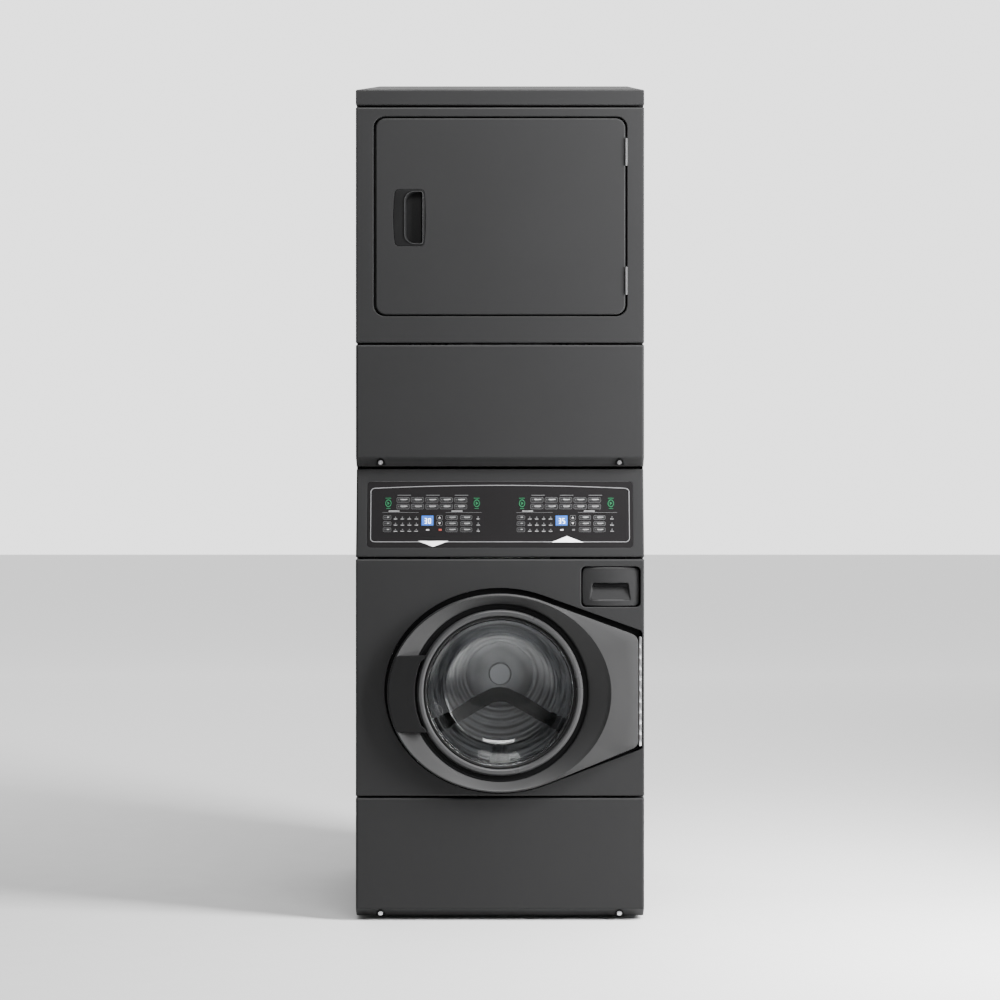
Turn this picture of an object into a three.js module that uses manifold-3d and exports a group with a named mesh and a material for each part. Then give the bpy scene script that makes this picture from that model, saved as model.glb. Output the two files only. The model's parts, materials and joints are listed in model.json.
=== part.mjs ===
// Washer dryer stack. Millimetres, +Z up, the front faces -Y, floor at Z = 0.
import * as THREE from 'three';
import { mergeVertices } from 'three/addons/utils/BufferGeometryUtils.js';
import Module from 'manifold-3d';

const wasm = await Module();
wasm.setup();

// ---- driving sizes -------------------------------------------------------
const WIDTH = 683;
const DEPTH = 705;
const HEIGHT = 1984;
const DOOR_PROUD = 26;
const SPOUT_OUT = 18;
const SHEET = 2;
const PAN = 45;
const GAP = 0.3;
const FOOT_R = 20;
const GLASS_T = 5;
const DOOR_HOLE_R = 212;
const TUB_R = 285;
const DRYER_DRUM_R = 318;

// ---- sizes that follow ---------------------------------------------------
const HALF = WIDTH / 2;
const YF = -DEPTH / 2 + DOOR_PROUD;
const YB = DEPTH / 2 - SPOUT_OUT;
const KX = WIDTH / 683;
const KZ = HEIGHT / 1984;
const K = Math.min(KX, KZ);
const X = (v) => v * KX;
const Z = (v) => v * KZ;
const R = (v) => v * K;
const HOLE_R = R(DOOR_HOLE_R);
const TR = R(TUB_R);

// ---- helpers -------------------------------------------------------------
function solid(geometry) {
  const bare = geometry.index ? geometry.toNonIndexed() : geometry.clone();
  bare.deleteAttribute('normal');
  bare.deleteAttribute('uv');
  const welded = mergeVertices(bare, 1e-4);
  const p = welded.attributes.position.array;
  const index = welded.index.array;
  const tris = [];
  let volume = 0;
  for (let i = 0; i < index.length; i += 3) {
    const [a, b, c] = [index[i], index[i + 1], index[i + 2]];
    if (a === b || b === c || a === c) continue;
    const va = new THREE.Vector3(p[3 * a], p[3 * a + 1], p[3 * a + 2]);
    const vb = new THREE.Vector3(p[3 * b], p[3 * b + 1], p[3 * b + 2]);
    const vc = new THREE.Vector3(p[3 * c], p[3 * c + 1], p[3 * c + 2]);
    volume += va.dot(vb.cross(vc));
    tris.push(a, b, c);
  }
  if (volume < 0) {
    for (let i = 0; i < tris.length; i += 3) {
      [tris[i + 1], tris[i + 2]] = [tris[i + 2], tris[i + 1]];
    }
  }
  return new wasm.Manifold(new wasm.Mesh({
    numProp: 3,
    vertProperties: new Float32Array(p),
    triVerts: new Uint32Array(tris),
  }));
}

function toGeometry(body) {
  const mesh = body.getMesh();
  const geometry = new THREE.BufferGeometry();
  const points = new Float32Array(mesh.vertProperties);
  geometry.setAttribute('position', new THREE.BufferAttribute(points, 3));
  geometry.setIndex(new THREE.BufferAttribute(new Uint32Array(mesh.triVerts), 1));
  geometry.computeVertexNormals();
  return geometry;
}

const root = new THREE.Group();
root.name = 'washer_dryer_stack';

function add(name, body, color) {
  const mesh = new THREE.Mesh(toGeometry(body), new THREE.MeshStandardMaterial({ color }));
  mesh.name = name;
  root.add(mesh);
}

function box(x0, x1, y0, y1, z0, z1) {
  const g = new THREE.BoxGeometry(x1 - x0, y1 - y0, z1 - z0);
  g.translate((x0 + x1) / 2, (y0 + y1) / 2, (z0 + z1) / 2);
  return solid(g);
}

// A shape drawn in (x, z), pushed along Y from y0 to y1.
function slab(shape, y0, y1, curveSegments = 4) {
  const g = new THREE.ExtrudeGeometry(shape, { depth: y1 - y0, bevelEnabled: false, curveSegments });
  g.rotateX(Math.PI / 2);
  g.translate(0, y1, 0);
  return solid(g);
}

// A shape drawn in (x, y), pushed along Z.
function column(shape, z0, z1, curveSegments = 4) {
  const g = new THREE.ExtrudeGeometry(shape, { depth: z1 - z0, bevelEnabled: false, curveSegments });
  g.translate(0, 0, z0);
  return solid(g);
}

// A profile of [y, z] points, pushed along X.
function beam(points, x0, x1) {
  const shape = new THREE.Shape(points.map(([y, z]) => new THREE.Vector2(y, z)));
  const g = new THREE.ExtrudeGeometry(shape, { depth: x1 - x0, bevelEnabled: false });
  const turn = new THREE.Matrix4().makeBasis(
    new THREE.Vector3(0, 1, 0), new THREE.Vector3(0, 0, 1), new THREE.Vector3(1, 0, 0));
  g.applyMatrix4(turn);
  g.translate(x0, 0, 0);
  return solid(g);
}

// A profile of [radius, y] points turned about an axis along Y.
function turned(points, cx, cz, segments = 48) {
  const profile = points.map(([r, y]) => new THREE.Vector2(r, y));
  const g = new THREE.LatheGeometry(profile, segments);
  g.translate(cx, 0, cz);
  return solid(g);
}

function ringProfile(points) {
  return [...points, points[0]];
}

function cylinder(r, y0, y1, cx, cz, segments = 16) {
  return turned([[0, y0], [r, y0], [r, y1], [0, y1]], cx, cz, segments);
}

// A profile of [radius, z] points turned about an upright axis.
function upright(points, cx, cy, segments = 24) {
  const profile = points.map(([r, z]) => new THREE.Vector2(r, z));
  const g = new THREE.LatheGeometry(profile, segments);
  g.rotateX(Math.PI / 2);
  g.translate(cx, cy, 0);
  return solid(g);
}

function roundRect(x0, x1, z0, z1, r) {
  const s = new THREE.Shape();
  s.moveTo(x0 + r, z0);
  s.lineTo(x1 - r, z0);
  s.absarc(x1 - r, z0 + r, r, -Math.PI / 2, 0);
  s.lineTo(x1, z1 - r);
  s.absarc(x1 - r, z1 - r, r, 0, Math.PI / 2);
  s.lineTo(x0 + r, z1);
  s.absarc(x0 + r, z1 - r, r, Math.PI / 2, Math.PI);
  s.lineTo(x0, z0 + r);
  s.absarc(x0 + r, z0 + r, r, Math.PI, 1.5 * Math.PI);
  return s;
}

function polygon(points) {
  return new THREE.Shape(points.map(([a, b]) => new THREE.Vector2(a, b)));
}

// A solid through rings of points that match one to one.
function loft(rings) {
  const n = rings[0].length;
  const positions = [];
  const face = (a, b, c) => positions.push(...a, ...b, ...c);
  for (let k = 0; k + 1 < rings.length; k += 1) {
    for (let i = 0; i < n; i += 1) {
      const j = (i + 1) % n;
      face(rings[k][i], rings[k][j], rings[k + 1][j]);
      face(rings[k][i], rings[k + 1][j], rings[k + 1][i]);
    }
  }
  const last = rings[rings.length - 1];
  for (let i = 1; i + 1 < n; i += 1) {
    face(rings[0][0], rings[0][i + 1], rings[0][i]);
    face(last[0], last[i], last[i + 1]);
  }
  const g = new THREE.BufferGeometry();
  g.setAttribute('position', new THREE.Float32BufferAttribute(positions, 3));
  return solid(g);
}

function ovalRing(rx, rz, y, cz, n = 48) {
  const ring = [];
  for (let i = 0; i < n; i += 1) {
    const a = (2 * Math.PI * i) / n;
    ring.push([rx * Math.cos(a), y, cz + rz * Math.sin(a)]);
  }
  return ring;
}

function rectRing(x0, x1, y0, y1, z) {
  return [[x0, y0, z], [x1, y0, z], [x1, y1, z], [x0, y1, z]];
}

// A pressed pan: open at the back, round front corners.
function pan(z0, z1, profile, inner) {
  const skin = (inset, r) => {
    const s = new THREE.Shape();
    s.moveTo(-HALF + inset, YF + PAN + 2 * inset);
    s.lineTo(-HALF + inset, YF + r + inset);
    s.absarc(-HALF + inset + r, YF + r + inset, r, Math.PI, 1.5 * Math.PI);
    s.lineTo(HALF - inset - r, YF + inset);
    s.absarc(HALF - inset - r, YF + r + inset, r, -Math.PI / 2, 0);
    s.lineTo(HALF - inset, YF + PAN + 2 * inset);
    return s;
  };
  let outside = column(skin(0, 6), z0, z1);
  let inside = column(skin(SHEET, 4), z0 + SHEET, z1 - SHEET);
  if (profile) {
    outside = outside.intersect(beam(profile, -HALF - 1, HALF + 1));
    inside = inside.intersect(beam(inner, -HALF - 1, HALF + 1));
  }
  return outside.subtract(inside);
}

// An open U of sheet: two sides and a back.
function wrapper(z0, z1) {
  const y0 = YF + PAN + 0.5;
  return box(-HALF, HALF, y0, YB, z0, z1)
    .subtract(box(-HALF + SHEET, HALF - SHEET, y0 - 1, YB - SHEET, z0 - 1, z1 + 1));
}

function tray(z0, z1, wall) {
  const y0 = YF + PAN + 1;
  return box(-HALF + 3, HALF - 3, y0, YB - 3, z0, z1)
    .subtract(box(-HALF + 3 + wall, HALF - 3 - wall, y0 + wall, YB - 3 - wall, z0 + wall, z1 + 1));
}

// ---- heights -------------------------------------------------------------
const Z_SKIRT = Z(8);
const Z_KICK_TOP = Z(291);
const Z_WASH_LOW = Z(295.5);
const Z_WASH_TOP = Z(856.5);
const Z_CTRL_LOW = Z(861);
const Z_CTRL_TOP = Z(1071);
const Z_DRY_LOW = Z(1076);
const Z_DRYKICK_TOP = Z(1363.5);
const Z_DRYFRONT_LOW = Z(1368);
const Z_DRYFRONT_TOP = Z(1926);
const Z_COVER_LOW = Z(1930.5);
const Z_COVER_EDGE = Z(1971);
const Z_DRUM = Z(540);
const Z_DOOR = Z(541);
const Z_DRYDRUM = Z(1600);

const DARK = 0x4c4c4d;
const STEEL = 0x9a9c9e;
const BLACK = 0x161617;

// ---- washer: frame, cabinet, panels --------------------------------------
const CHAMFER_H = 21;
const CHAMFER_D = 24;
const SCREW_X = HALF - 58.5;
const LEG_X = HALF - 45;
const LEG_YS = { front: YF + 100, rear: YB - 60 };

let baseFrame = tray(Z_SKIRT + 2, Z_SKIRT + 52, 3);
for (const sx of [-1, 1]) {
  const hole = cylinder(3, YF, YF + PAN + 30, sx * SCREW_X, Z_SKIRT + 9.5, 16);
  baseFrame = baseFrame.subtract(hole);
  for (const y of Object.values(LEG_YS)) {
    const bore = upright([[0, 0], [5.6, 0], [5.6, Z_SKIRT + 20], [0, Z_SKIRT + 20]], sx * LEG_X, y, 20);
    baseFrame = baseFrame.subtract(bore);
  }
}
add('washer_base_frame', baseFrame, DARK);

for (const [end, y] of Object.entries(LEG_YS)) {
  for (const [side, sx] of [['left', -1], ['right', 1]]) {
    const leg = upright([[0, 0], [FOOT_R, 0], [FOOT_R, 4], [9, 7], [5, 7], [5, 44], [0, 44]], sx * LEG_X, y);
    add(`levelling_leg_${end}_${side}`, leg, BLACK);
  }
}

const COVER_X = HALF - 110;
const COVER_LOW = Z(250);
const COVER_TOP = Z(800);
const VALVE_X = -HALF + 90;
const VALVE_Z = Z(960);
const VALVE_DX = 25;
let washerCabinet = wrapper(Z_SKIRT, Z_DRY_LOW - GAP)
  .subtract(box(-COVER_X + 15, COVER_X - 15, YB - 10, YB + 5, COVER_LOW + 15, COVER_TOP - 15));
for (const dx of [-VALVE_DX, VALVE_DX]) {
  washerCabinet = washerCabinet.subtract(cylinder(14, YB - 10, YB + 5, VALVE_X + dx, VALVE_Z, 20));
}
add('washer_cabinet', washerCabinet, DARK);
let rearCover = box(-COVER_X, COVER_X, YB + GAP, YB + GAP + SHEET, COVER_LOW, COVER_TOP);
for (let i = -2; i <= 2; i += 1) {
  const x = (i * COVER_X) / 3;
  rearCover = rearCover.add(
    box(x - 8, x + 8, YB + GAP + 1, YB + GAP + 6, COVER_LOW + 40, COVER_TOP - 40));
}
add('washer_rear_cover', rearCover, STEEL);

const kickProfile = (low, top) => [
  [YF, top], [YF, low + CHAMFER_H], [YF + CHAMFER_D, low], [YF + PAN, low], [YF + PAN, top]];
const kickInner = (low, top) => [
  [YF + SHEET, top - SHEET], [YF + SHEET, low + CHAMFER_H + 1],
  [YF + CHAMFER_D + 1, low + SHEET], [YF + PAN + 5, low + SHEET], [YF + PAN + 5, top - SHEET]];
function kickPanel(low, top) {
  let body = pan(low, top, kickProfile(low, top), kickInner(low, top));
  for (const sx of [-1, 1]) {
    body = body.subtract(cylinder(6.5, YF - 1, YF + CHAMFER_D, sx * SCREW_X, low + 9.5, 20));
  }
  return body;
}
function kickScrew(sx, low) {
  const y = YF + 8;
  return turned([[0, y], [3, y - 1.5], [6, y + 0.5], [6, y + 5], [2.6, y + 5],
    [2.6, YF + PAN + 8], [0, YF + PAN + 8]], sx * SCREW_X, low + 9.5, 20);
}
add('washer_lower_panel', kickPanel(Z_SKIRT, Z_KICK_TOP), DARK);
add('washer_screw_left', kickScrew(-1, Z_SKIRT), STEEL);
add('washer_screw_right', kickScrew(1, Z_SKIRT), STEEL);

// Door outline: an oval with a wing that runs to the hinge.
const DOOR_RX = R(266);
const DOOR_RZ = R(234);
const HINGE_X = HALF - 10.5;
const HINGE_Y = YF - 8;
const WING_X = HINGE_X - 4.5;
const WING_TOP = Z_DOOR + R(134);
const WING_LOW = Z_DOOR - R(127);
function oval(rx, rz, dz) {
  const s = new THREE.Shape();
  s.absellipse(0, Z_DOOR + dz, rx, rz, 0, 2 * Math.PI);
  return s;
}
const wing = (x1, up, down) => polygon([
  [R(110), Z_DOOR + R(210) + up], [x1, WING_TOP + up], [x1, WING_LOW - down],
  [R(110), Z_DOOR - R(210) - down]]);
const doorOutline = (y0, y1) => slab(oval(DOOR_RX, DOOR_RZ, 0), y0, y1, 24)
  .add(slab(wing(WING_X, 0, 0), y0, y1));
const dishOutline = (grow, y0, y1) => slab(
  oval(DOOR_RX + 6 + grow, DOOR_RZ + 8 + grow, 4), y0, y1, 24)
  .add(slab(wing(HINGE_X + 5.5 + grow, 12 + grow, 6 + grow), y0, y1));

const DISH = 8;
const DRAWER_X0 = HALF - 149.5;
const DRAWER_X1 = HALF - 9.5;
const DRAWER_Z0 = Z(743);
const DRAWER_Z1 = Z(839);
const STRIKE_X = -(HOLE_R + 35);
let washerFront = pan(Z_WASH_LOW, Z_WASH_TOP)
  .add(dishOutline(2, YF + 1, YF + DISH + SHEET))
  .subtract(dishOutline(0, YF - 1, YF + DISH))
  .subtract(cylinder(HOLE_R, YF - 1, YF + 20, 0, Z_DOOR, 40))
  .subtract(box(STRIKE_X - 9, STRIKE_X + 9, YF - 1, YF + 20, Z_DOOR - 20, Z_DOOR + 20))
  .subtract(slab(roundRect(DRAWER_X0, DRAWER_X1, DRAWER_Z0, DRAWER_Z1, 11), YF - 1, YF + 20));
add('washer_front_panel', washerFront, DARK);

const hingeY1 = YF + DISH - GAP;
const hingeZ0 = WING_LOW + 2;
const hingeZ1 = WING_TOP - 2;
const leaf = box(HINGE_X - 1.2, HINGE_X + 1.2, HINGE_Y, hingeY1, hingeZ0, hingeZ1);
const barrel = upright(
  [[0, hingeZ0], [3.3, hingeZ0], [3.3, hingeZ1], [0, hingeZ1]], HINGE_X, HINGE_Y, 16);
add('washer_door_hinge', leaf.add(barrel), STEEL);

// ---- washer door ---------------------------------------------------------
const RIM = -DEPTH / 2;
const FLOOR0 = YF - 2;
const FLOOR1 = YF + 4;
const RING_R = HOLE_R - 4;
const PORT_R = HOLE_R - 36;
const FLANGE_R = HOLE_R - 16;
const HANDLE_Z0 = Z_DOOR - R(91);
const HANDLE_Z1 = Z_DOOR + R(88);
const slopeCut = column(polygon([
  [DOOR_RX - 6, RIM - 1], [WING_X + 5, RIM - 1], [WING_X + 5, YF - 11.5], [WING_X - 6, YF - 12]]),
Z_WASH_LOW - 20, Z_WASH_TOP + 20);
const funnel = loft([
  ovalRing(DOOR_RX - 2, DOOR_RZ - 2, RIM - 2, Z_DOOR),
  ovalRing(RING_R, RING_R, FLOOR0, Z_DOOR)]);
const handleSlot = (grow, y0, y1) => slab(
  roundRect(-DOOR_RX - 20, -FLANGE_R + grow, HANDLE_Z0 - grow, HANDLE_Z1 + grow, 2), y0, y1)
  .intersect(doorOutline(y0, y1))
  .subtract(cylinder(HOLE_R - 10 - grow, y0 - 1, y1 + 1, 0, Z_DOOR, 40));
const doorFrame = doorOutline(RIM, FLOOR1)
  .subtract(slopeCut)
  .subtract(funnel)
  .subtract(cylinder(PORT_R, FLOOR0 - 1, FLOOR1 + 1, 0, Z_DOOR, 40))
  .subtract(handleSlot(GAP, RIM - 1, FLOOR0));
add('washer_door_frame', doorFrame, DARK);
const handleBody = handleSlot(0, RIM + 3, FLOOR0 - GAP)
  .subtract(box(-DOOR_RX + 22, 0, RIM + 10, FLOOR0 - 5, HANDLE_Z0 + 10, HANDLE_Z1 - 10));
add('washer_door_handle', handleBody, BLACK);
add('washer_door_trim', turned(ringProfile([
  [PORT_R + 11, FLOOR0 - GAP], [PORT_R + 11, FLOOR0 - 4], [PORT_R + 14, FLOOR0 - 8],
  [PORT_R + 21, FLOOR0 - 8], [PORT_R + 24, FLOOR0 - 4], [PORT_R + 24, FLOOR0 - GAP]]),
0, Z_DOOR, 40), STEEL);
const glassProfile = [
  [0, 115], [PORT_R - 76, 111], [PORT_R - 40, 100], [PORT_R - 24, 78], [PORT_R - 10, 30],
  [PORT_R - 3, GLASS_T], [FLANGE_R, GLASS_T], [FLANGE_R, GAP], [PORT_R - 8, GAP], [PORT_R - 15, 29],
  [PORT_R - 29, 76], [PORT_R - 44, 95], [PORT_R - 78, 111 - GLASS_T], [0, 115 - GLASS_T]];
add('washer_door_glass',
  turned(glassProfile.map(([r, y]) => [r, FLOOR1 + y]), 0, Z_DOOR, 40), 0x8899a0);
const backRing = turned(ringProfile([
  [PORT_R + 4, FLOOR1 + GLASS_T + GAP], [HOLE_R - 6, FLOOR1 + GLASS_T + GAP],
  [HOLE_R - 6, YF + 24], [PORT_R + 4, YF + 24]]), 0, Z_DOOR, 40);
add('washer_door_back_ring', backRing, DARK);
add('washer_door_strike',
  box(STRIKE_X - 5, STRIKE_X + 5, FLOOR1 + GAP, YF + 28, Z_DOOR - 14, Z_DOOR + 14), STEEL);
const lockY0 = YF + DISH + SHEET + GAP;
add('washer_door_lock',
  box(STRIKE_X - 20, STRIKE_X + 9.6, lockY0, YF + 48, Z_DOOR - 38, Z_DOOR + 38)
    .subtract(box(STRIKE_X - 9, STRIKE_X + 8, lockY0 - 1, YF + 34, Z_DOOR - 20, Z_DOOR + 20)), BLACK);

// ---- dispenser -----------------------------------------------------------
const drawerMidX = (DRAWER_X0 + DRAWER_X1) / 2;
const drawerMidZ = (DRAWER_Z0 + DRAWER_Z1) / 2;
const TRAY_X = 54;
const TRAY_Z0 = drawerMidZ - 20;
const TRAY_Z1 = drawerMidZ + 34;
const TRAY_LONG = 210;
const drawerFace = slab(
  roundRect(DRAWER_X0 + 2, DRAWER_X1 - 2, DRAWER_Z0 + 2, DRAWER_Z1 - 2, 10), YF - 2, YF + 24);
const trayY0 = YF + 20;
const drawer = drawerFace
  .subtract(slab(polygon([
    [drawerMidX - 48, drawerMidZ - 30], [drawerMidX + 48, drawerMidZ - 30],
    [drawerMidX + 41, drawerMidZ + 11], [drawerMidX - 41, drawerMidZ + 11]]), YF - 3, YF + 12))
  .add(box(drawerMidX - TRAY_X, drawerMidX + TRAY_X, trayY0, trayY0 + TRAY_LONG, TRAY_Z0, TRAY_Z1))
  .subtract(box(drawerMidX - TRAY_X + 2.5, drawerMidX - 1.2, YF + 27, trayY0 + TRAY_LONG - 2.5,
    TRAY_Z0 + 2.5, TRAY_Z1 + 1))
  .subtract(box(drawerMidX + 1.2, drawerMidX + TRAY_X - 2.5, YF + 27, trayY0 + TRAY_LONG - 2.5,
    TRAY_Z0 + 2.5, TRAY_Z1 + 1));
add('dispenser_drawer', drawer, DARK);
const houseY0 = YF + 28;
const houseY1 = trayY0 + TRAY_LONG + 12;
const housing = box(drawerMidX - TRAY_X - 4, drawerMidX + TRAY_X + 4, houseY0, houseY1,
  TRAY_Z0 - 4, TRAY_Z1 + 10)
  .subtract(box(drawerMidX - TRAY_X - 1, drawerMidX + TRAY_X + 1, houseY0 - 1, houseY1 - 3,
    TRAY_Z0 - 1, TRAY_Z1 + 7));
add('dispenser_housing', housing, 0xb9bcc0);

// ---- tub group -----------------------------------------------------------
const TUB_Y0 = YF + 93;
const TUB_Y1 = YB - 116;
add('door_gasket', turned(ringProfile([
  [14, 10.5], [14, 28], [22, 40], [10, 52], [22, 66], [12, 80], [12, 92.5], [8, 92.5],
  [8, 79], [17, 66], [5, 52], [16, 41], [10, 34], [-24, 34], [-24, 30], [6, 30],
  [6, 10.5]].map(([past, y]) => [HOLE_R + past, YF + y])), 0, Z_DRUM, 40), 0x6f7174);
const tubShell = turned(ringProfile([
  [HOLE_R + 2, TUB_Y0], [TR, TUB_Y0], [TR, TUB_Y1], [45, TUB_Y1], [45, TUB_Y1 + 18],
  [16.3, TUB_Y1 + 18], [16.3, TUB_Y1 - 9], [TR - 5, TUB_Y1 - 9], [TR - 5, TUB_Y0 + 5],
  [HOLE_R + 2, TUB_Y0 + 5]]), 0, Z_DRUM, 40);
const MOTOR_Z = Z_DRUM - R(375);
const MOTOR_R = R(58);
const STAND_X = TR * 0.58;
const STAND_TOP = Z_DRUM - Math.sqrt(TR ** 2 - STAND_X ** 2) + 32;
let tub = tubShell;
for (const x of [-STAND_X, STAND_X]) {
  for (const y of [TUB_Y0 + 60, TUB_Y1 - 100]) {
    tub = tub.add(box(x - 15, x + 15, y, y + 40, Z_SKIRT + 5 + GAP, STAND_TOP));
  }
}
const bracket = box(-40, 40, YF + 340, YF + 480, MOTOR_Z + MOTOR_R - 8, Z_DRUM - TR + 4)
  .subtract(cylinder(MOTOR_R + GAP, YF + 330, YF + 490, 0, MOTOR_Z, 28));
const bore = cylinder(TR - 5, TUB_Y0 + 5, TUB_Y1 - 9, 0, Z_DRUM, 40);
add('outer_tub', tub.add(bracket).subtract(bore), 0xc4c6c8);

const blockTop = Z_DRUM + TR + 36;
add('counterweight', slab(polygon([
  [-R(150), Z_DRUM + R(200)], [R(150), Z_DRUM + R(200)], [R(120), blockTop], [-R(120), blockTop]]),
YF + 130, -60)
  .subtract(cylinder(TR + 1, YF + 100, 0, 0, Z_DRUM, 40)), 0x8d8d88);

add('washer_motor', turned(ringProfile([
  [9, YF + 335], [MOTOR_R - 8, YF + 335], [MOTOR_R, YF + 345], [MOTOR_R, YF + 475],
  [MOTOR_R - 8, YF + 485], [9, YF + 485]]), 0, MOTOR_Z, 28), 0x707376);
const PULLEY_Y0 = TUB_Y1 + 22;
const PULLEY_Y1 = PULLEY_Y0 + 22;
const DRUM_PULLEY_R = R(150);
const MOTOR_PULLEY_R = R(35);
const grooved = (r, hub) => [
  [hub, PULLEY_Y0], [r, PULLEY_Y0], [r, PULLEY_Y0 + 2], [r - 3, PULLEY_Y0 + 4],
  [r - 3, PULLEY_Y1 - 4], [r, PULLEY_Y1 - 2], [r, PULLEY_Y1], [hub, PULLEY_Y1]];
let drumPulley = turned([[0, PULLEY_Y0], ...grooved(DRUM_PULLEY_R, 0).slice(1, -1), [0, PULLEY_Y1]],
  0, Z_DRUM, 40);
for (let i = 0; i < 5; i += 1) {
  const a = (2 * Math.PI * i) / 5;
  drumPulley = drumPulley.subtract(cylinder(DRUM_PULLEY_R * 0.26, PULLEY_Y0 - 1, PULLEY_Y1 + 1,
    DRUM_PULLEY_R * 0.6 * Math.cos(a), Z_DRUM + DRUM_PULLEY_R * 0.6 * Math.sin(a), 20));
}
add('drum_pulley', drumPulley, STEEL);
add('motor_pulley', turned([[0, YF + 345], [7, YF + 345], [7, PULLEY_Y0],
  ...grooved(MOTOR_PULLEY_R, 7).slice(1, -1), [0, PULLEY_Y1]], 0, MOTOR_Z, 24), STEEL);
// ---- washer drum ---------------------------------------------------------
const DRUM_R = TR - 22;
const DRUM_Y0 = TUB_Y0 + 14;
const DRUM_Y1 = TUB_Y1 - 20;
let drum = turned([
  [0, PULLEY_Y0 - GAP], [15, PULLEY_Y0 - GAP], [15, DRUM_Y1 + 4], [60, DRUM_Y1 + 4],
  [60, DRUM_Y1], [DRUM_R, DRUM_Y1], [DRUM_R, DRUM_Y0], [HOLE_R - 22, DRUM_Y0], [HOLE_R - 22, DRUM_Y0 + 2],
  [DRUM_R - 2, DRUM_Y0 + 12], [DRUM_R - 2, DRUM_Y1 - 3], [0, DRUM_Y1 - 3]], 0, Z_DRUM, 40);
const drumInside = cylinder(DRUM_R - 1, DRUM_Y0 + 20, DRUM_Y1 - 1, 0, Z_DRUM, 40);
for (let i = 0; i < 3; i += 1) {
  const a = -Math.PI / 2 + (2 * Math.PI * i) / 3;
  const at = (along, across) => [
    along * Math.cos(a) - across * Math.sin(a), Z_DRUM + along * Math.sin(a) + across * Math.cos(a)];
  const fin = slab(polygon([
    at(DRUM_R, -38), at(DRUM_R, 38), at(DRUM_R - R(72), 9), at(DRUM_R - R(72), -9)]),
  DRUM_Y0 + 30, DRUM_Y1 - 2);
  drum = drum.add(fin.intersect(drumInside));
}
add('washer_drum', drum, STEEL);

// ---- washer services -----------------------------------------------------
let valve = box(VALVE_X - 45, VALVE_X + 45, YB - 50, YB - SHEET - GAP, VALVE_Z - 22, VALVE_Z + 22);
for (const dx of [-VALVE_DX, VALVE_DX]) {
  valve = valve.add(cylinder(12, YB - 10, YB + 14, VALVE_X + dx, VALVE_Z, 20));
}
add('water_inlet_valve', valve, 0xd8d8d4);

// ---- control panel -------------------------------------------------------
const CTRL_BACK = 27;
const slopeA = Math.atan2(CTRL_BACK, Z_CTRL_TOP - Z_CTRL_LOW);
// Things drawn on the upright front plane are leaned back onto the slope.
function leaned(body) {
  const deg = (-slopeA * 180) / Math.PI;
  return body.translate([0, -YF, -Z_CTRL_LOW]).rotate([deg, 0, 0]).translate([0, YF, Z_CTRL_LOW]);
}
const OVERLAY_X = HALF - 27;
const OVERLAY_Z0 = Z(884);
const OVERLAY_Z1 = Z(1042);
const SINK = 1.5;
const DISPLAYS = { washer_display: -172, dryer_display: 146 };
const DISPLAY_W = 31;
const DISPLAY_Z0 = Z(934.5);
const DISPLAY_Z1 = Z(960.5);
const ctrlProfile = [[YF, Z_CTRL_LOW], [YF + PAN, Z_CTRL_LOW], [YF + PAN, Z_CTRL_TOP],
  [YF + CTRL_BACK, Z_CTRL_TOP]];
const ctrlInner = [[YF + 4, Z_CTRL_LOW + SHEET], [YF + PAN + 5, Z_CTRL_LOW + SHEET],
  [YF + PAN + 5, Z_CTRL_TOP - SHEET], [YF + CTRL_BACK + 4, Z_CTRL_TOP - SHEET]];
let ctrl = column((() => {
  const s = new THREE.Shape();
  s.moveTo(-HALF, YF + PAN + 1);
  s.lineTo(-HALF, YF);
  s.lineTo(HALF, YF);
  s.lineTo(HALF, YF + PAN + 1);
  return s;
})(), Z_CTRL_LOW, Z_CTRL_TOP)
  .intersect(beam(ctrlProfile, -HALF - 1, HALF + 1))
  .subtract(beam(ctrlInner, -HALF + SHEET, HALF - SHEET))
  .subtract(leaned(slab(roundRect(-OVERLAY_X - GAP, OVERLAY_X + GAP, OVERLAY_Z0 - GAP,
    OVERLAY_Z1 + GAP, 8), YF - 1, YF + SINK)));
for (const cx of Object.values(DISPLAYS)) {
  ctrl = ctrl.subtract(leaned(box(X(cx) - DISPLAY_W / 2 + 1, X(cx) + DISPLAY_W / 2 - 1, YF - 1, YF + 12,
    DISPLAY_Z0 + 1, DISPLAY_Z1 - 1)));
}
add('control_housing', ctrl, DARK);
let overlay = slab(roundRect(-OVERLAY_X, OVERLAY_X, OVERLAY_Z0, OVERLAY_Z1, 8), YF, YF + SINK - GAP);
for (const cx of Object.values(DISPLAYS)) {
  overlay = overlay.subtract(box(X(cx) - DISPLAY_W / 2 - GAP, X(cx) + DISPLAY_W / 2 + GAP,
    YF - 1, YF + 3, DISPLAY_Z0 - GAP, DISPLAY_Z1 + GAP));
}
add('control_overlay', leaned(overlay), BLACK);
for (const [name, cx] of Object.entries(DISPLAYS)) {
  add(name, leaned(box(X(cx) - DISPLAY_W / 2, X(cx) + DISPLAY_W / 2, YF, YF + SINK - GAP,
    DISPLAY_Z0, DISPLAY_Z1)), 0x5f8fd8);
}
add('control_board', leaned(box(-X(270), X(270), YF + 9, YF + 11, OVERLAY_Z0 + 20, OVERLAY_Z1 - 25)),
  0x2f6b3a);

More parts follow.
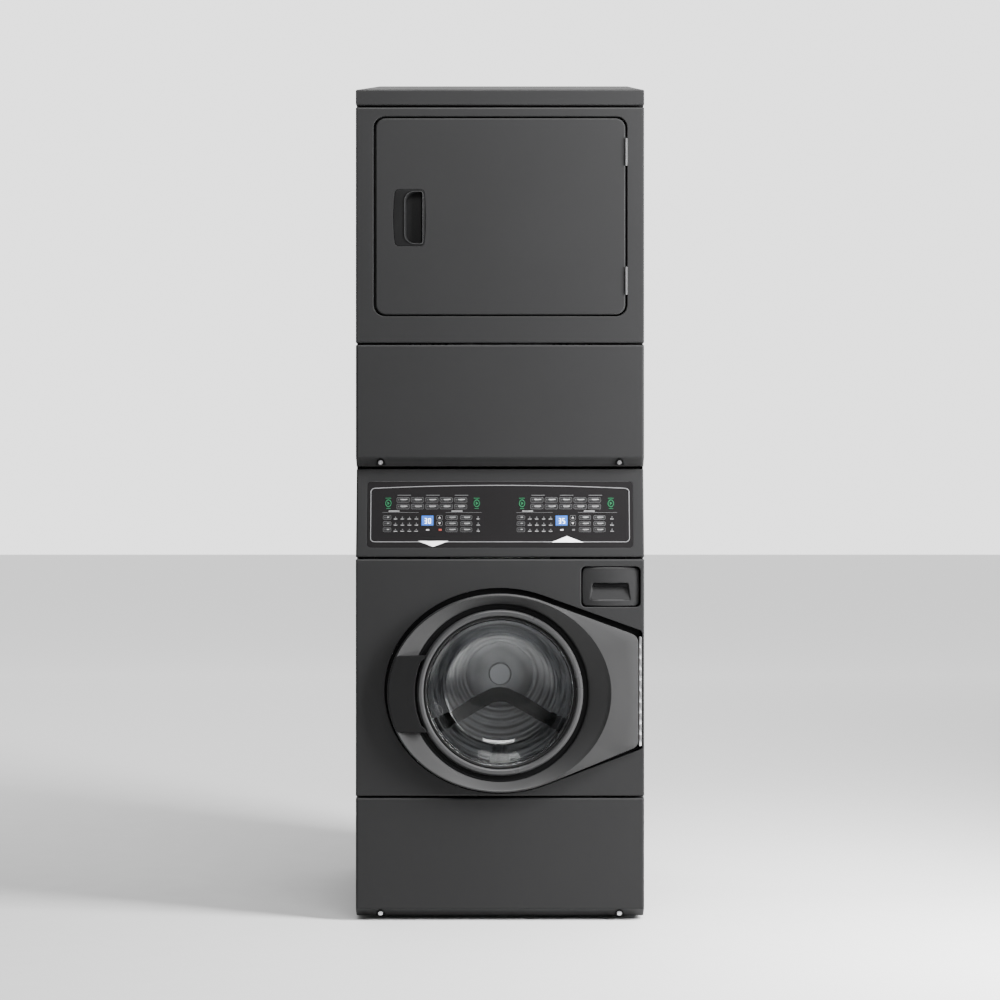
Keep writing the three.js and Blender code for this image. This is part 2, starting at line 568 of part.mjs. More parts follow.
// ---- dryer: frame, cabinet, panels ---------------------------------------
const DUCT_X = -R(60);
const DUCT_Z = Z_DRY_LOW + 66;
const DUCT_R = 51;
let dryerBase = tray(Z_DRY_LOW + 2, Z_DRY_LOW + 32, 3);
for (const sx of [-1, 1]) {
  dryerBase = dryerBase
    .subtract(cylinder(3, YF, YF + PAN + 30, sx * SCREW_X, Z_DRY_LOW + 9.5, 16));
}
dryerBase = dryerBase.subtract(cylinder(DUCT_R + 3, YB - 20, YB + 5, DUCT_X, DUCT_Z, 28));
add('dryer_base_frame', dryerBase, DARK);
const DCOVER_X = R(170);
const DCOVER_Z0 = Z(1330);
const DCOVER_Z1 = Z(1870);
add('dryer_cabinet', wrapper(Z_DRY_LOW, Z_COVER_LOW - GAP)
  .subtract(cylinder(DUCT_R + 3, YB - 20, YB + 5, DUCT_X, DUCT_Z, 28))
  .subtract(box(-DCOVER_X + 15, DCOVER_X - 15, YB - 10, YB + 5, DCOVER_Z0 + 15, DCOVER_Z1 - 15)), DARK);
let dryerRear = box(-DCOVER_X, DCOVER_X, YB + GAP, YB + GAP + SHEET, DCOVER_Z0, DCOVER_Z1);
for (let i = 0; i < 5; i += 1) {
  const z = DCOVER_Z0 + 80 + i * 22;
  dryerRear = dryerRear.subtract(box(-90, 90, YB - 1, YB + 10, z, z + 8));
}
add('dryer_rear_cover', dryerRear, STEEL);
add('dryer_lower_panel', kickPanel(Z_DRY_LOW, Z_DRYKICK_TOP), DARK);
add('dryer_screw_left', kickScrew(-1, Z_DRY_LOW), STEEL);
add('dryer_screw_right', kickScrew(1, Z_DRY_LOW), STEEL);

const DD_X0 = -HALF + 41.5;
const DD_X1 = HALF - 44;
const DD_Z0 = Z(1434);
const DD_Z1 = Z(1901);
const POCKET = 24;
const PORT_X = X(188);
const PORT_Z0 = Z(1477);
const PORT_Z1 = Z(1823);
const DHINGE_X = DD_X1 + 1.5;
const DHINGES = { upper: Z(1819.5), lower: Z(1515) };
const DSTRIKE_X = -X(234);
const DSTRIKE_Z = Z(1665);
const hingeVoid = (z) => upright(
  [[0, z - 33.5], [3.7, z - 33.5], [3.7, z + 33.5], [0, z + 33.5]], DHINGE_X, YF, 16);
let dryerFront = pan(Z_DRYFRONT_LOW, Z_DRYFRONT_TOP)
  .add(slab(roundRect(DD_X0 - 5, DD_X1 + 5, DD_Z0 - 5, DD_Z1 + 5, 29), YF + 1, YF + POCKET + SHEET))
  .subtract(slab(roundRect(DD_X0 - 3, DD_X1 + 3, DD_Z0 - 3, DD_Z1 + 3, 27), YF - 1, YF + POCKET))
  .subtract(slab(roundRect(-PORT_X, PORT_X, PORT_Z0, PORT_Z1, 60), YF, YF + PAN))
  .subtract(box(DSTRIKE_X - 8, DSTRIKE_X + 8, YF, YF + PAN, DSTRIKE_Z - 13, DSTRIKE_Z + 13));
for (const z of Object.values(DHINGES)) dryerFront = dryerFront.subtract(hingeVoid(z));
add('dryer_front_panel', dryerFront, DARK);
const lip = { left: HALF - 54, right: HALF - 38 };
const coverOutside = box(-HALF, HALF, YF, YB, Z_COVER_LOW, Z_COVER_EDGE)
  .add(loft([rectRing(-HALF, HALF, YF, YB, Z_COVER_EDGE),
    rectRing(-lip.left, lip.right, YF + 42, YB - 42, HEIGHT)]));
const coverInside = box(-HALF + SHEET, HALF - SHEET, YF + SHEET, YB - SHEET,
  Z_COVER_LOW - 1, Z_COVER_EDGE - SHEET)
  .add(loft([
    rectRing(-HALF + SHEET, HALF - SHEET, YF + SHEET, YB - SHEET, Z_COVER_EDGE - SHEET),
    rectRing(-lip.left, lip.right, YF + 42, YB - 42, HEIGHT - SHEET)]));
add('dryer_top_cover', coverOutside.subtract(coverInside), DARK);

// ---- dryer door ----------------------------------------------------------
const GRIP_X0 = DD_X0 + 48.5;
const GRIP_X1 = DD_X0 + 119;
const GRIP_Z0 = Z(1597);
const GRIP_Z1 = Z(1733);
let doorOuter = slab(roundRect(DD_X0, DD_X1, DD_Z0, DD_Z1, 24), YF, YF + 20)
  .subtract(slab(roundRect(DD_X0 + 2, DD_X1 - 2, DD_Z0 + 2, DD_Z1 - 2, 22), YF + SHEET, YF + 21))
  .subtract(slab(roundRect(GRIP_X0, GRIP_X1, GRIP_Z0, GRIP_Z1, 8), YF - 1, YF + 10));
for (const z of Object.values(DHINGES)) doorOuter = doorOuter.subtract(hingeVoid(z));
add('dryer_door_outer', doorOuter, DARK);
const doorInner = slab(
  roundRect(DD_X0 + 6, DD_X1 - 6, DD_Z0 + 6, DD_Z1 - 6, 20), YF + 18, YF + 20)
  .add(slab(roundRect(-PORT_X + 10, PORT_X - 10, PORT_Z0 + 11, PORT_Z1 - 11, 50), YF + 19, YF + 33))
  .subtract(slab(roundRect(-PORT_X + 14, PORT_X - 14, PORT_Z0 + 15, PORT_Z1 - 15, 46),
    YF + 17, YF + 31));
add('dryer_door_inner', doorInner, DARK);
const grip = slab(roundRect(GRIP_X0 + GAP, GRIP_X1 - GAP, GRIP_Z0 + GAP, GRIP_Z1 - GAP, 7.7),
  YF, YF + 17)
  .subtract(slab(roundRect(GRIP_X0 + 25, GRIP_X1 - 3, GRIP_Z0 + 5, GRIP_Z1 - 6, 14), YF - 1, YF + 14));
add('dryer_door_handle', grip, BLACK);
add('dryer_door_seal', slab(
  roundRect(-PORT_X - 20, PORT_X + 20, PORT_Z0 - 20, PORT_Z1 + 20, 70), YF + 20 + GAP, YF + 23.5)
  .subtract(slab(roundRect(-PORT_X - 4, PORT_X + 4, PORT_Z0 - 4, PORT_Z1 + 4, 60), YF + 19, YF + 25)),
0x55565a);
add('dryer_door_strike', box(DSTRIKE_X - 5, DSTRIKE_X + 5, YF + 20 + GAP, YF + 38,
  DSTRIKE_Z - 9, DSTRIKE_Z + 9), STEEL);
for (const [end, z] of Object.entries(DHINGES)) {
  add(`dryer_door_hinge_${end}`, upright(
    [[0, z - 32.5], [3.3, z - 32.5], [3.3, z + 32.5], [0, z + 32.5]], DHINGE_X, YF, 16), STEEL);
}
add('dryer_door_catch', box(DSTRIKE_X - 14, DSTRIKE_X + 14, YF + POCKET + SHEET + GAP, YF + 46,
  DSTRIKE_Z - 20, DSTRIKE_Z + 20)
  .subtract(box(DSTRIKE_X - 8, DSTRIKE_X + 8, YF + POCKET, YF + 41,
    DSTRIKE_Z - 13, DSTRIKE_Z + 13)), 0xcfd2d4);

// ---- dryer bulkheads, drum and air path ----------------------------------
const BULK_X = HALF - 6;
const FB_Y = YF + 68;
const LINT_Y0 = YF + PAN + 1.5;
const RB_Y = YB - 60;
const DR = R(DRYER_DRUM_R);
const LINT_X = X(124);
const LINT_Z0 = Z(1332);
const LINT_Z1 = PORT_Z0 + 2;
const BLOW_X = R(150);
const BLOW_Z = Z_DRY_LOW + R(114);
const port = (inset, y0, y1) => slab(
  roundRect(-PORT_X + inset, PORT_X - inset, PORT_Z0 + inset, PORT_Z1 - inset, 60), y0, y1);
let frontBulk = box(-BULK_X, BULK_X, FB_Y, FB_Y + SHEET, Z_DRYFRONT_LOW + 4, Z_DRYFRONT_TOP - 4)
  .add(port(1, YF + POCKET + SHEET + GAP, FB_Y + 1))
  .add(turned(ringProfile([[R(291), FB_Y + 1], [R(295), FB_Y + 1], [R(295), FB_Y + 30],
    [R(291), FB_Y + 30]]), 0, Z_DRYDRUM, 40))
  .add(box(-LINT_X, LINT_X, LINT_Y0, FB_Y + 1, LINT_Z0, LINT_Z1));
frontBulk = frontBulk
  .subtract(port(3, YF, FB_Y + 50))
  .subtract(box(-LINT_X + 3, LINT_X - 3, LINT_Y0 + 2, FB_Y - 2, LINT_Z0 - 1, LINT_Z1 + 8));
add('dryer_front_bulkhead', frontBulk, STEEL);
const filterY0 = LINT_Y0 + 4;
const filterY1 = FB_Y - 5;
let filter = box(-LINT_X + 5, LINT_X - 5, filterY0, filterY1, LINT_Z0 + 8, LINT_Z1 - 2);
for (let i = 0; i < 4; i += 1) {
  const w = (2 * LINT_X - 30) / 4;
  const x = -LINT_X + 15 + i * w;
  filter = filter.subtract(box(x + 2, x + w - 2, filterY0 - 1, filterY1 + 1,
    LINT_Z0 + 16, LINT_Z1 - 30));
}
add('lint_filter', filter, 0xbfc3c6);
const INTAKE_R = R(42);
const lintShape = (inset) => polygon([
  [-LINT_X + inset, LINT_Z0 - GAP - inset], [-LINT_X + inset, LINT_Z0 - 24],
  [BLOW_X - INTAKE_R - 8 + inset, BLOW_Z - INTAKE_R - 8 + inset],
  [BLOW_X + INTAKE_R + 8 - inset, BLOW_Z - INTAKE_R - 8 + inset],
  [BLOW_X + INTAKE_R + 8 - inset, LINT_Z0 - 24], [LINT_X - inset, LINT_Z0 - GAP - inset]]);
add('lint_duct', slab(lintShape(0), LINT_Y0, FB_Y + 0.5)
  .subtract(slab(lintShape(3), LINT_Y0 + 2, FB_Y - 1.5))
  .subtract(box(-LINT_X + 8, LINT_X - 8, LINT_Y0 + 4, FB_Y - 2, LINT_Z0 - 10, LINT_Z0 + 5))
  .subtract(cylinder(INTAKE_R - 6, FB_Y - 5, FB_Y + 5, BLOW_X, BLOW_Z, 28)), STEEL);

const BH_Y0 = FB_Y + 3;
const BH_Y1 = BH_Y0 + 66;
const BLOW_R = R(82);
const duct = DUCT_R + 6;
const scroll = (inset, y0, y1) => cylinder(BLOW_R - inset, y0, y1, BLOW_X, BLOW_Z, 28)
  .add(box(DUCT_X - duct + inset, BLOW_X, y0, y1, BLOW_Z - BLOW_R + inset, DUCT_Z + duct - inset));
add('blower_housing', scroll(0, BH_Y0, BH_Y1)
  .subtract(scroll(3, BH_Y0 + 3, BH_Y1 - 3))
  .subtract(cylinder(INTAKE_R - 6, BH_Y0 - 1, BH_Y0 + 5, BLOW_X, BLOW_Z, 28))
  .subtract(cylinder(DUCT_R - 4, BH_Y1 - 5, BH_Y1 + 1, DUCT_X, DUCT_Z, 28))
  .subtract(cylinder(8, BH_Y1 - 5, BH_Y1 + 1, BLOW_X, BLOW_Z, 20)), STEEL);
let wheel = turned(ringProfile([[6.4, BH_Y1 - 12], [6.4, BH_Y1 - 34], [14, BH_Y1 - 34],
  [14, BH_Y1 - 15], [BLOW_R - 14, BH_Y1 - 15], [BLOW_R - 14, BH_Y1 - 12]]), BLOW_X, BLOW_Z, 28)
  .add(turned(ringProfile([[BLOW_R - 30, BH_Y0 + 10], [BLOW_R - 14, BH_Y0 + 10],
    [BLOW_R - 14, BH_Y0 + 13], [BLOW_R - 30, BH_Y0 + 13]]), BLOW_X, BLOW_Z, 28));
const blade = box(BLOW_R - 30, BLOW_R - 16, BH_Y0 + 11, BH_Y1 - 13, -1.2, 1.2);
for (let i = 0; i < 16; i += 1) {
  wheel = wheel.add(blade.rotate([0, (360 * i) / 16, 0]).translate([BLOW_X, 0, BLOW_Z]));
}
const MOTOR_Y0 = BH_Y1 + 8;
const DMOTOR_R = R(56);
const shaftEnd = MOTOR_Y0 + 200;
add('dryer_motor', turned(ringProfile([
  [8, MOTOR_Y0], [DMOTOR_R - 10, MOTOR_Y0], [DMOTOR_R, MOTOR_Y0 + 12], [DMOTOR_R, MOTOR_Y0 + 150],
  [DMOTOR_R - 10, MOTOR_Y0 + 162], [8, MOTOR_Y0 + 162]]), BLOW_X, BLOW_Z, 28), 0x707376);
const shaft = turned([[0, BH_Y1 - 36], [7, BH_Y1 - 36], [7, MOTOR_Y0 + 168],
  [12, MOTOR_Y0 + 168], [12, MOTOR_Y0 + 170], [10, MOTOR_Y0 + 171], [10, shaftEnd - 6],
  [12, shaftEnd - 5], [12, shaftEnd - 2], [0, shaftEnd - 2]], BLOW_X, BLOW_Z, 24);
add('blower_wheel', wheel.add(shaft), 0xd5d7d8);
add('exhaust_duct', turned(ringProfile([
  [DUCT_R - 1.5, BH_Y1 + GAP], [DUCT_R, BH_Y1 + GAP], [DUCT_R, YB + SPOUT_OUT],
  [DUCT_R - 1.5, YB + SPOUT_OUT]]), DUCT_X, DUCT_Z, 28), STEEL);

const DD_Y0 = FB_Y + 12;
const DD_Y1 = RB_Y - 5;
let dryerDrum = turned([
  [0, DD_Y1], [DR, DD_Y1], [DR, DD_Y0], [R(300), DD_Y0], [R(300), DD_Y0 + 2], [DR - 2, DD_Y0 + 2],
  [DR - 2, DD_Y1 - 2], [0, DD_Y1 - 2]], 0, Z_DRYDRUM, 40);
const dryInside = cylinder(DR - 1, DD_Y0 + 5, DD_Y1 - 1, 0, Z_DRYDRUM, 40);
for (let i = 0; i < 3; i += 1) {
  const a = Math.PI / 2 + (2 * Math.PI * i) / 3;
  const at = (along, across) => [
    along * Math.cos(a) - across * Math.sin(a),
    Z_DRYDRUM + along * Math.sin(a) + across * Math.cos(a)];
  dryerDrum = dryerDrum.add(slab(polygon([
    at(DR, -34), at(DR, 34), at(DR - R(64), 10), at(DR - R(64), -10)]), DD_Y0 + 40, DD_Y1 - 1)
    .intersect(dryInside));
}
add('dryer_drum', dryerDrum, 0xc9cbcc);
let rearBulk = box(-BULK_X, BULK_X, RB_Y, RB_Y + SHEET, Z_DRY_LOW + 36, Z_DRYFRONT_TOP - 4)
  .subtract(cylinder(DUCT_R + 3, RB_Y - 5, RB_Y + 8, DUCT_X, DUCT_Z, 28));
for (let i = 0; i < 8; i += 1) {
  const a = (2 * Math.PI * i) / 8;
  rearBulk = rearBulk.subtract(cylinder(R(24), RB_Y - 5, RB_Y + 8,
    R(150) * Math.cos(a), Z_DRYDRUM + R(150) * Math.sin(a), 16));
}
add('dryer_rear_bulkhead', rearBulk, STEEL);
const HEAT_X = R(160);
add('heater_box', box(-HEAT_X, HEAT_X, RB_Y + SHEET + GAP, YB - 8, Z(1400), Z(1800))
  .subtract(box(-HEAT_X + 2, HEAT_X - 2, RB_Y, YB - 10, Z(1400) + 2, Z(1800) - 2)), STEEL);

export default root;
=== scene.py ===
import bpy
import bmesh
import json
import math
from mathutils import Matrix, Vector
from mathutils.geometry import tessellate_polygon


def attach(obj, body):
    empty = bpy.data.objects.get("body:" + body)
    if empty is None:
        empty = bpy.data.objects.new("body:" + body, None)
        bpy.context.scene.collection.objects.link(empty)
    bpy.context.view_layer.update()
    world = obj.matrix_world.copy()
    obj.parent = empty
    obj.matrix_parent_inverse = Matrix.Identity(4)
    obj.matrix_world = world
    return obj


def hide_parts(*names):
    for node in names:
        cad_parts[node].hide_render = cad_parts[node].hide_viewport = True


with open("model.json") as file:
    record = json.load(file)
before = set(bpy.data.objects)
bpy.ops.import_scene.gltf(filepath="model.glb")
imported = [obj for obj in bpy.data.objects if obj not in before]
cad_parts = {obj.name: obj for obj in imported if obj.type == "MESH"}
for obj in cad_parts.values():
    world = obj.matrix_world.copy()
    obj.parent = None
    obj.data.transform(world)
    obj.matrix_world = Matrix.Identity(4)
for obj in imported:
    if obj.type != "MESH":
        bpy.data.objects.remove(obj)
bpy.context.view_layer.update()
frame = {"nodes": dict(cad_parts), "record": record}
NODES = frame["nodes"]


# ---------------------------------------------------------------- materials
M = {}


def base_material(name, color, rough, metallic=0.0, coat=0.0, spec=0.5):
    m = bpy.data.materials.new(name)
    m.use_nodes = True
    b = m.node_tree.nodes["Principled BSDF"]
    b.inputs["Base Color"].default_value = (*color, 1)
    b.inputs["Roughness"].default_value = rough
    b.inputs["Metallic"].default_value = metallic
    b.inputs["Coat Weight"].default_value = coat
    b.inputs["Specular IOR Level"].default_value = spec
    return m, m.node_tree, b


def coords(tree):
    return tree.nodes.new("ShaderNodeTexCoord").outputs["Object"]


def noise(tree, vec, scale, detail=3.0, stretch=None):
    n = tree.nodes.new("ShaderNodeTexNoise")
    n.inputs["Scale"].default_value = scale
    n.inputs["Detail"].default_value = detail
    if stretch:
        mp = tree.nodes.new("ShaderNodeMapping")
        mp.inputs["Scale"].default_value = stretch
        tree.links.new(vec, mp.inputs["Vector"])
        vec = mp.outputs["Vector"]
    tree.links.new(vec, n.inputs["Vector"])
    return n.outputs["Fac"]


def ramp(tree, fac, lo, hi, p0=0.3, p1=0.7):
    r = tree.nodes.new("ShaderNodeValToRGB")
    r.color_ramp.elements[0].position = p0
    r.color_ramp.elements[1].position = p1
    r.color_ramp.elements[0].color = (*lo, 1)
    r.color_ramp.elements[1].color = (*hi, 1)
    tree.links.new(fac, r.inputs["Fac"])
    return r.outputs["Color"]


def bump(tree, bsdf, height, strength, distance):
    b = tree.nodes.new("ShaderNodeBump")
    b.inputs["Strength"].default_value = strength
    b.inputs["Distance"].default_value = distance
    tree.links.new(height, b.inputs["Height"])
    tree.links.new(b.outputs["Normal"], bsdf.inputs["Normal"])


def scaled(c, k):
    return tuple(v * k for v in c)


def grained(name, color, rough, metallic=0.0, coat=0.0, grain=900.0, depth=0.00004,
            strength=0.25, tone=0.08, cloud=5.0, stretch=None, rough_var=0.05, spec=0.5):
    """A surface with patchy colour, patchy gloss and a fine grain, kept in M under its name."""
    m, t, b = base_material(name, color, rough, metallic, coat, spec)
    vec = coords(t)
    patches = noise(t, vec, cloud, 4, stretch)
    t.links.new(ramp(t, patches, scaled(color, 1 - tone), scaled(color, 1 + tone)), b.inputs["Base Color"])
    wear = noise(t, vec, cloud * 2.3, 3, stretch)
    t.links.new(ramp(t, wear, (rough - rough_var,) * 3, (rough + rough_var,) * 3), b.inputs["Roughness"])
    bump(t, b, noise(t, vec, grain, 2, stretch), strength, depth)
    M[name] = m
    return m


PANEL = (0.0095, 0.0095, 0.0097)
grained("panel_paint", PANEL, 0.44, grain=1400, strength=0.18, tone=0.03, cloud=3, rough_var=0.015,
        spec=0.18)
grained("side_paint", scaled(PANEL, 0.95), 0.46, grain=1100, strength=0.22, tone=0.035, cloud=2,
        rough_var=0.015, spec=0.2)
grained("door_plastic", (0.0158, 0.0158, 0.016), 0.34, grain=1800, strength=0.12, tone=0.03, spec=0.2)
grained("black_plastic", (0.0042, 0.0042, 0.0043), 0.42, grain=2600, strength=0.3, spec=0.13)
# the washer door trim's own grey plastic, also laid on the dryer handle's cup rim as a painted highlight
grained("ring_plastic", (0.022, 0.022, 0.0225), 0.3, grain=1800, strength=0.1, spec=0.3)
grained("overlay_gloss", (0.0045, 0.0042, 0.0044), 0.2, coat=0.1, grain=500, strength=0.03,
        rough_var=0.02, spec=0.22)
grained("inner_white_paint", (0.06, 0.06, 0.061), 0.4, strength=0.15)
grained("bare_steel", (0.62, 0.62, 0.63), 0.28, 1.0, grain=350, strength=0.2, stretch=(1, 1, 0.05))
grained("galvanised_sheet", (0.42, 0.43, 0.44), 0.42, 1.0, grain=90, strength=0.12, tone=0.18, cloud=55)
grained("pulley_metal", (0.5, 0.5, 0.51), 0.4, 1.0, grain=500, strength=0.3)
grained("gasket_rubber", (0.045, 0.045, 0.047), 0.55, grain=1500, strength=0.3)
grained("seal_felt", (0.09, 0.09, 0.092), 0.95, grain=900, strength=0.9, depth=0.0003)
grained("foot_rubber", (0.02, 0.02, 0.02), 0.7, grain=1200, strength=0.4)
grained("tub_plastic", (0.42, 0.43, 0.44), 0.5, grain=700, strength=0.3)
grained("light_plastic", (0.5, 0.5, 0.49), 0.4, grain=900, strength=0.2)
grained("weight_concrete", (0.3, 0.3, 0.29), 0.9, grain=220, strength=0.8, depth=0.0006, tone=0.25,
        cloud=60)
grained("motor_paint", (0.05, 0.05, 0.052), 0.4, grain=500, strength=0.3)
grained("board_green", (0.02, 0.12, 0.04), 0.4, grain=300, strength=0.4, tone=0.3, cloud=150)
# near-black used as painted shade where shadow falls: on the dish floor, in the drawer slot, in the channel
# round the glass, on the band on the drum's end wall and round the screws
grained("painted_shade_black", (0.002, 0.002, 0.0021), 0.6, grain=900, strength=0.2, spec=0.06)
grained("line_silver", (0.35, 0.35, 0.36), 0.34, 0.8, grain=900, strength=0.1)
grained("hinge_steel", (0.55, 0.55, 0.56), 0.36, 1.0, grain=500, strength=0.2)


def glow(name, color, strength, base=(0.02, 0.02, 0.02)):
    m, t, b = base_material(name, base, 0.35)
    b.inputs["Emission Color"].default_value = (*color, 1)
    b.inputs["Emission Strength"].default_value = strength
    n = noise(t, coords(t), 900.0)
    t.links.new(ramp(t, n, scaled(base, 0.8), scaled(base, 1.2)), b.inputs["Base Color"])
    M[name] = m


glow("display_window", (0.05, 0.17, 0.8), 0.36, (0.01, 0.05, 0.2))
glow("digit_light", (0.85, 0.93, 1.0), 1.6, (0.6, 0.7, 0.8))
# the green and red marks are print; the faint emission in these two is a painted glow that makes the print
# look brighter
glow("green_print_painted_glow", (0.04, 0.4, 0.15), 0.04, (0.005, 0.055, 0.022))
glow("red_print_painted_glow", (0.5, 0.07, 0.05), 0.16, (0.12, 0.02, 0.015))
grained("ink_white", (0.2, 0.2, 0.204), 0.5, strength=0.05)
grained("ink_bright", (0.62, 0.62, 0.63), 0.5, strength=0.05)
grained("ink_grey", (0.042, 0.042, 0.043), 0.5, strength=0.05)
grained("ink_dim", (0.007, 0.007, 0.0072), 0.4, strength=0.05, spec=0.2)


def drum_material():
    m, t, b = base_material("drum_steel", (0.5, 0.5, 0.51), 0.24, 1.0)
    vec = coords(t)
    streak = noise(t, vec, 60.0, 3, (1, 8, 1))
    t.links.new(ramp(t, streak, (0.36, 0.36, 0.37), (0.56, 0.56, 0.57)), b.inputs["Base Color"])
    t.links.new(ramp(t, streak, (0.2,) * 3, (0.34,) * 3), b.inputs["Roughness"])
    bump(t, b, noise(t, vec, 700.0, 2, (1, 0.1, 1)), 0.15, 0.00006)
    return m


M["drum_steel"] = drum_material()


def glass_material():
    m = bpy.data.materials.new("door_glass")
    m.use_nodes = True
    t = m.node_tree
    b = t.nodes["Principled BSDF"]
    b.inputs["Base Color"].default_value = (0.93, 0.95, 0.96, 1)
    b.inputs["Roughness"].default_value = 0.02
    b.inputs["Transmission Weight"].default_value = 1.0
    b.inputs["IOR"].default_value = 1.45
    out = t.nodes["Material Output"]
    mix = t.nodes.new("ShaderNodeMixShader")
    clear = t.nodes.new("ShaderNodeBsdfTransparent")
    path = t.nodes.new("ShaderNodeLightPath")
    t.links.new(path.outputs["Is Shadow Ray"], mix.inputs[0])
    t.links.new(b.outputs[0], mix.inputs[1])
    t.links.new(clear.outputs[0], mix.inputs[2])
    t.links.new(mix.outputs[0], out.inputs["Surface"])
    bump(t, b, noise(t, coords(t), 40.0, 1), 0.02, 0.0002)
    return m


M["door_glass"] = glass_material()

# ---------------------------------------------------------------- sizes (mm)
HALF = 341.5
YF = -326.5
YB = 334.5
RIM = -352.5
Z_DOOR = 541.0
HINGE_X = 331.0
WING_X = 326.5
DOOR_RX, DOOR_RZ = 266.0, 234.0
HOLE_R = 212.0
WASHER_KICK = (8, 291)
WASHER_FRONT = (295.5, 856.5)
DRYER_KICK = (1076, 1363.5)
DRYER_FRONT = (1368, 1926)
DRAWER_HOLE = (192, 332, 743, 839)
DRAWER_X, DRAWER_Z = 262, 791
DRUM_Z = 540
DRYER_Z = 1600
SCREW_X = 283
SCREW_UP = 9.5

# ---------------------------------------------------------------- geometry


def make(name, verts, faces, slot, body, replaces=(), sharp=32.0, material=None):
    """One visual piece from points in mm, riding its body and standing in for the named CAD nodes."""
    mesh = bpy.data.meshes.new(name)
    mesh.from_pydata([(v[0] / 1000, v[1] / 1000, v[2] / 1000) for v in verts], [], faces)
    bm = bmesh.new()
    bm.from_mesh(mesh)
    bmesh.ops.remove_doubles(bm, verts=bm.verts, dist=1e-6)
    bmesh.ops.recalc_face_normals(bm, faces=bm.faces)
    for f in bm.faces:
        f.smooth = True
    for e in bm.edges:
        if len(e.link_faces) == 2 and e.calc_face_angle(0) > math.radians(sharp):
            e.smooth = False
    bm.to_mesh(mesh)
    bm.free()
    obj = bpy.data.objects.new(name, mesh)
    bpy.context.scene.collection.objects.link(obj)
    mesh.materials.append(material or M[slot])
    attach(obj, body)
    if replaces:
        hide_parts(*replaces)
    return obj


def even_normals(obj):
    w = obj.modifiers.new("even", "WEIGHTED_NORMAL")
    w.keep_sharp = True
    w.weight = 90
    return obj


class Mesh:
    def __init__(self):
        self.v = []
        self.f = []

    def ring(self, pts):
        start = len(self.v)
        self.v.extend(pts)
        return list(range(start, start + len(pts)))

    def bridge(self, a, b, closed=True):
        n = len(a)
        for i in range(n if closed else n - 1):
            j = (i + 1) % n
            self.f.append((a[i], a[j], b[j], b[i]))

    def strips(self, loops):
        rings = [self.ring(p) for p in loops]
        for a, b in zip(rings, rings[1:]):
            self.bridge(a, b)
        return rings

    def cap(self, ring):
        self.f.append(tuple(ring))

    def fill(self, outer, *holes):
        index = list(outer)
        for h in holes:
            index.extend(h)
        loops = [[Vector(self.v[i]) for i in r] for r in (outer, *holes)]
        for tri in tessellate_polygon(loops):
            self.f.append(tuple(index[k] for k in tri))

    def box(self, x0, x1, y0, y1, z0, z1):
        s = len(self.v)
        self.v.extend([(x, y, z) for x in (x0, x1) for y in (y0, y1) for z in (z0, z1)])
        for q in ((0, 1, 3, 2), (4, 6, 7, 5), (0, 4, 5, 1), (2, 3, 7, 6), (0, 2, 6, 4), (1, 5, 7, 3)):
            self.f.append(tuple(s + k for k in q))


def rrect(x0, x1, z0, z1, r, n=8):
    pts = []
    corners = ((x1 - r, z0 + r, -90), (x1 - r, z1 - r, 0), (x0 + r, z1 - r, 90), (x0 + r, z0 + r, 180))
    for cx, cz, a0 in corners:
        for i in range(n + 1):
            a = math.radians(a0 + 90 * i / n)
            pts.append((cx + r * math.cos(a), cz + r * math.sin(a)))
    return pts


def subdivided(loop, longer, n):
    """Cuts each side that is longer than the given length into n."""
    out = []
    for (ax, az), (bx, bz) in zip(loop, loop[1:] + loop[:1]):
        out.append((ax, az))
        if math.hypot(bx - ax, bz - az) > longer:
            out += [(ax + (bx - ax) * k / n, az + (bz - az) * k / n) for k in range(1, n)]
    return out


def at_y(loop, y):
    return [(x, y, z) for x, z in loop]


def lathe(name, profile, cz, slot, body, replaces=(), n=144, cx=0.0, sharp=32.0, closed=True,
          material=None):
    """A piece turned about the level axis through (cx, cz); the profile is (radius, y) pairs."""
    m = Mesh()
    rings = []
    for k in range(n):
        a = 2 * math.pi * k / n
        c, s = math.cos(a), math.sin(a)
        rings.append(m.ring([(cx + r * c, y, cz + r * s) for r, y in profile]))
    for k in range(n):
        m.bridge(rings[k], rings[(k + 1) % n], closed)
    return make(name, m.v, m.f, slot, body, replaces, sharp, material)


def round_corners(profile, r, seg=3):
    """Fillets a closed [a, b] profile with arcs of about r."""
    out = []
    n = len(profile)
    for i in range(n):
        p = Vector(profile[i])
        a = Vector(profile[i - 1]) - p
        b = Vector(profile[(i + 1) % n]) - p
        d = min(r, a.length * 0.45, b.length * 0.45)
        pa, pb = p + a.normalized() * d, p + b.normalized() * d
        for k in range(seg + 1):
            t = k / seg
            q = pa * (1 - t) ** 2 + p * 2 * t * (1 - t) + pb * t ** 2
            out.append((q.x, q.y))
    return out


SLOT = {s["node"]: s["material_slot"] for s in frame["record"]["subparts"]}

# ---------------------------------------------------------------- panels


def front_rings(x0, x1, z0, z1, corner=2.5, edge=4.5, back=45.0, seg=6):
    """Outer loops of a pressed panel, from its back edge to its flat front."""
    loops = [at_y(rrect(x0, x1, z0, z1, corner), YF + back), at_y(rrect(x0, x1, z0, z1, corner), YF + edge)]
    for k in range(1, seg + 1):
        a = math.pi / 2 * k / seg
        d = edge * (1 - math.cos(a))
        y = YF + edge * (1 - math.sin(a))
        loops.append(at_y(rrect(x0 + d, x1 - d, z0 + d, z1 - d, corner), y))
    return loops


def lip_loops(shape, y0, depth, r=2.0, seg=4):
    """Loops that roll over an edge from the face at y0 into a hole; shape(d) is the hole grown by d."""
    loops = []
    for k in range(seg + 1):
        a = math.pi / 2 * k / seg
        loops.append(at_y(shape(r * (1 - math.sin(a))), y0 + r * (1 - math.cos(a))))
    loops.append(at_y(shape(0), y0 + depth))
    return loops


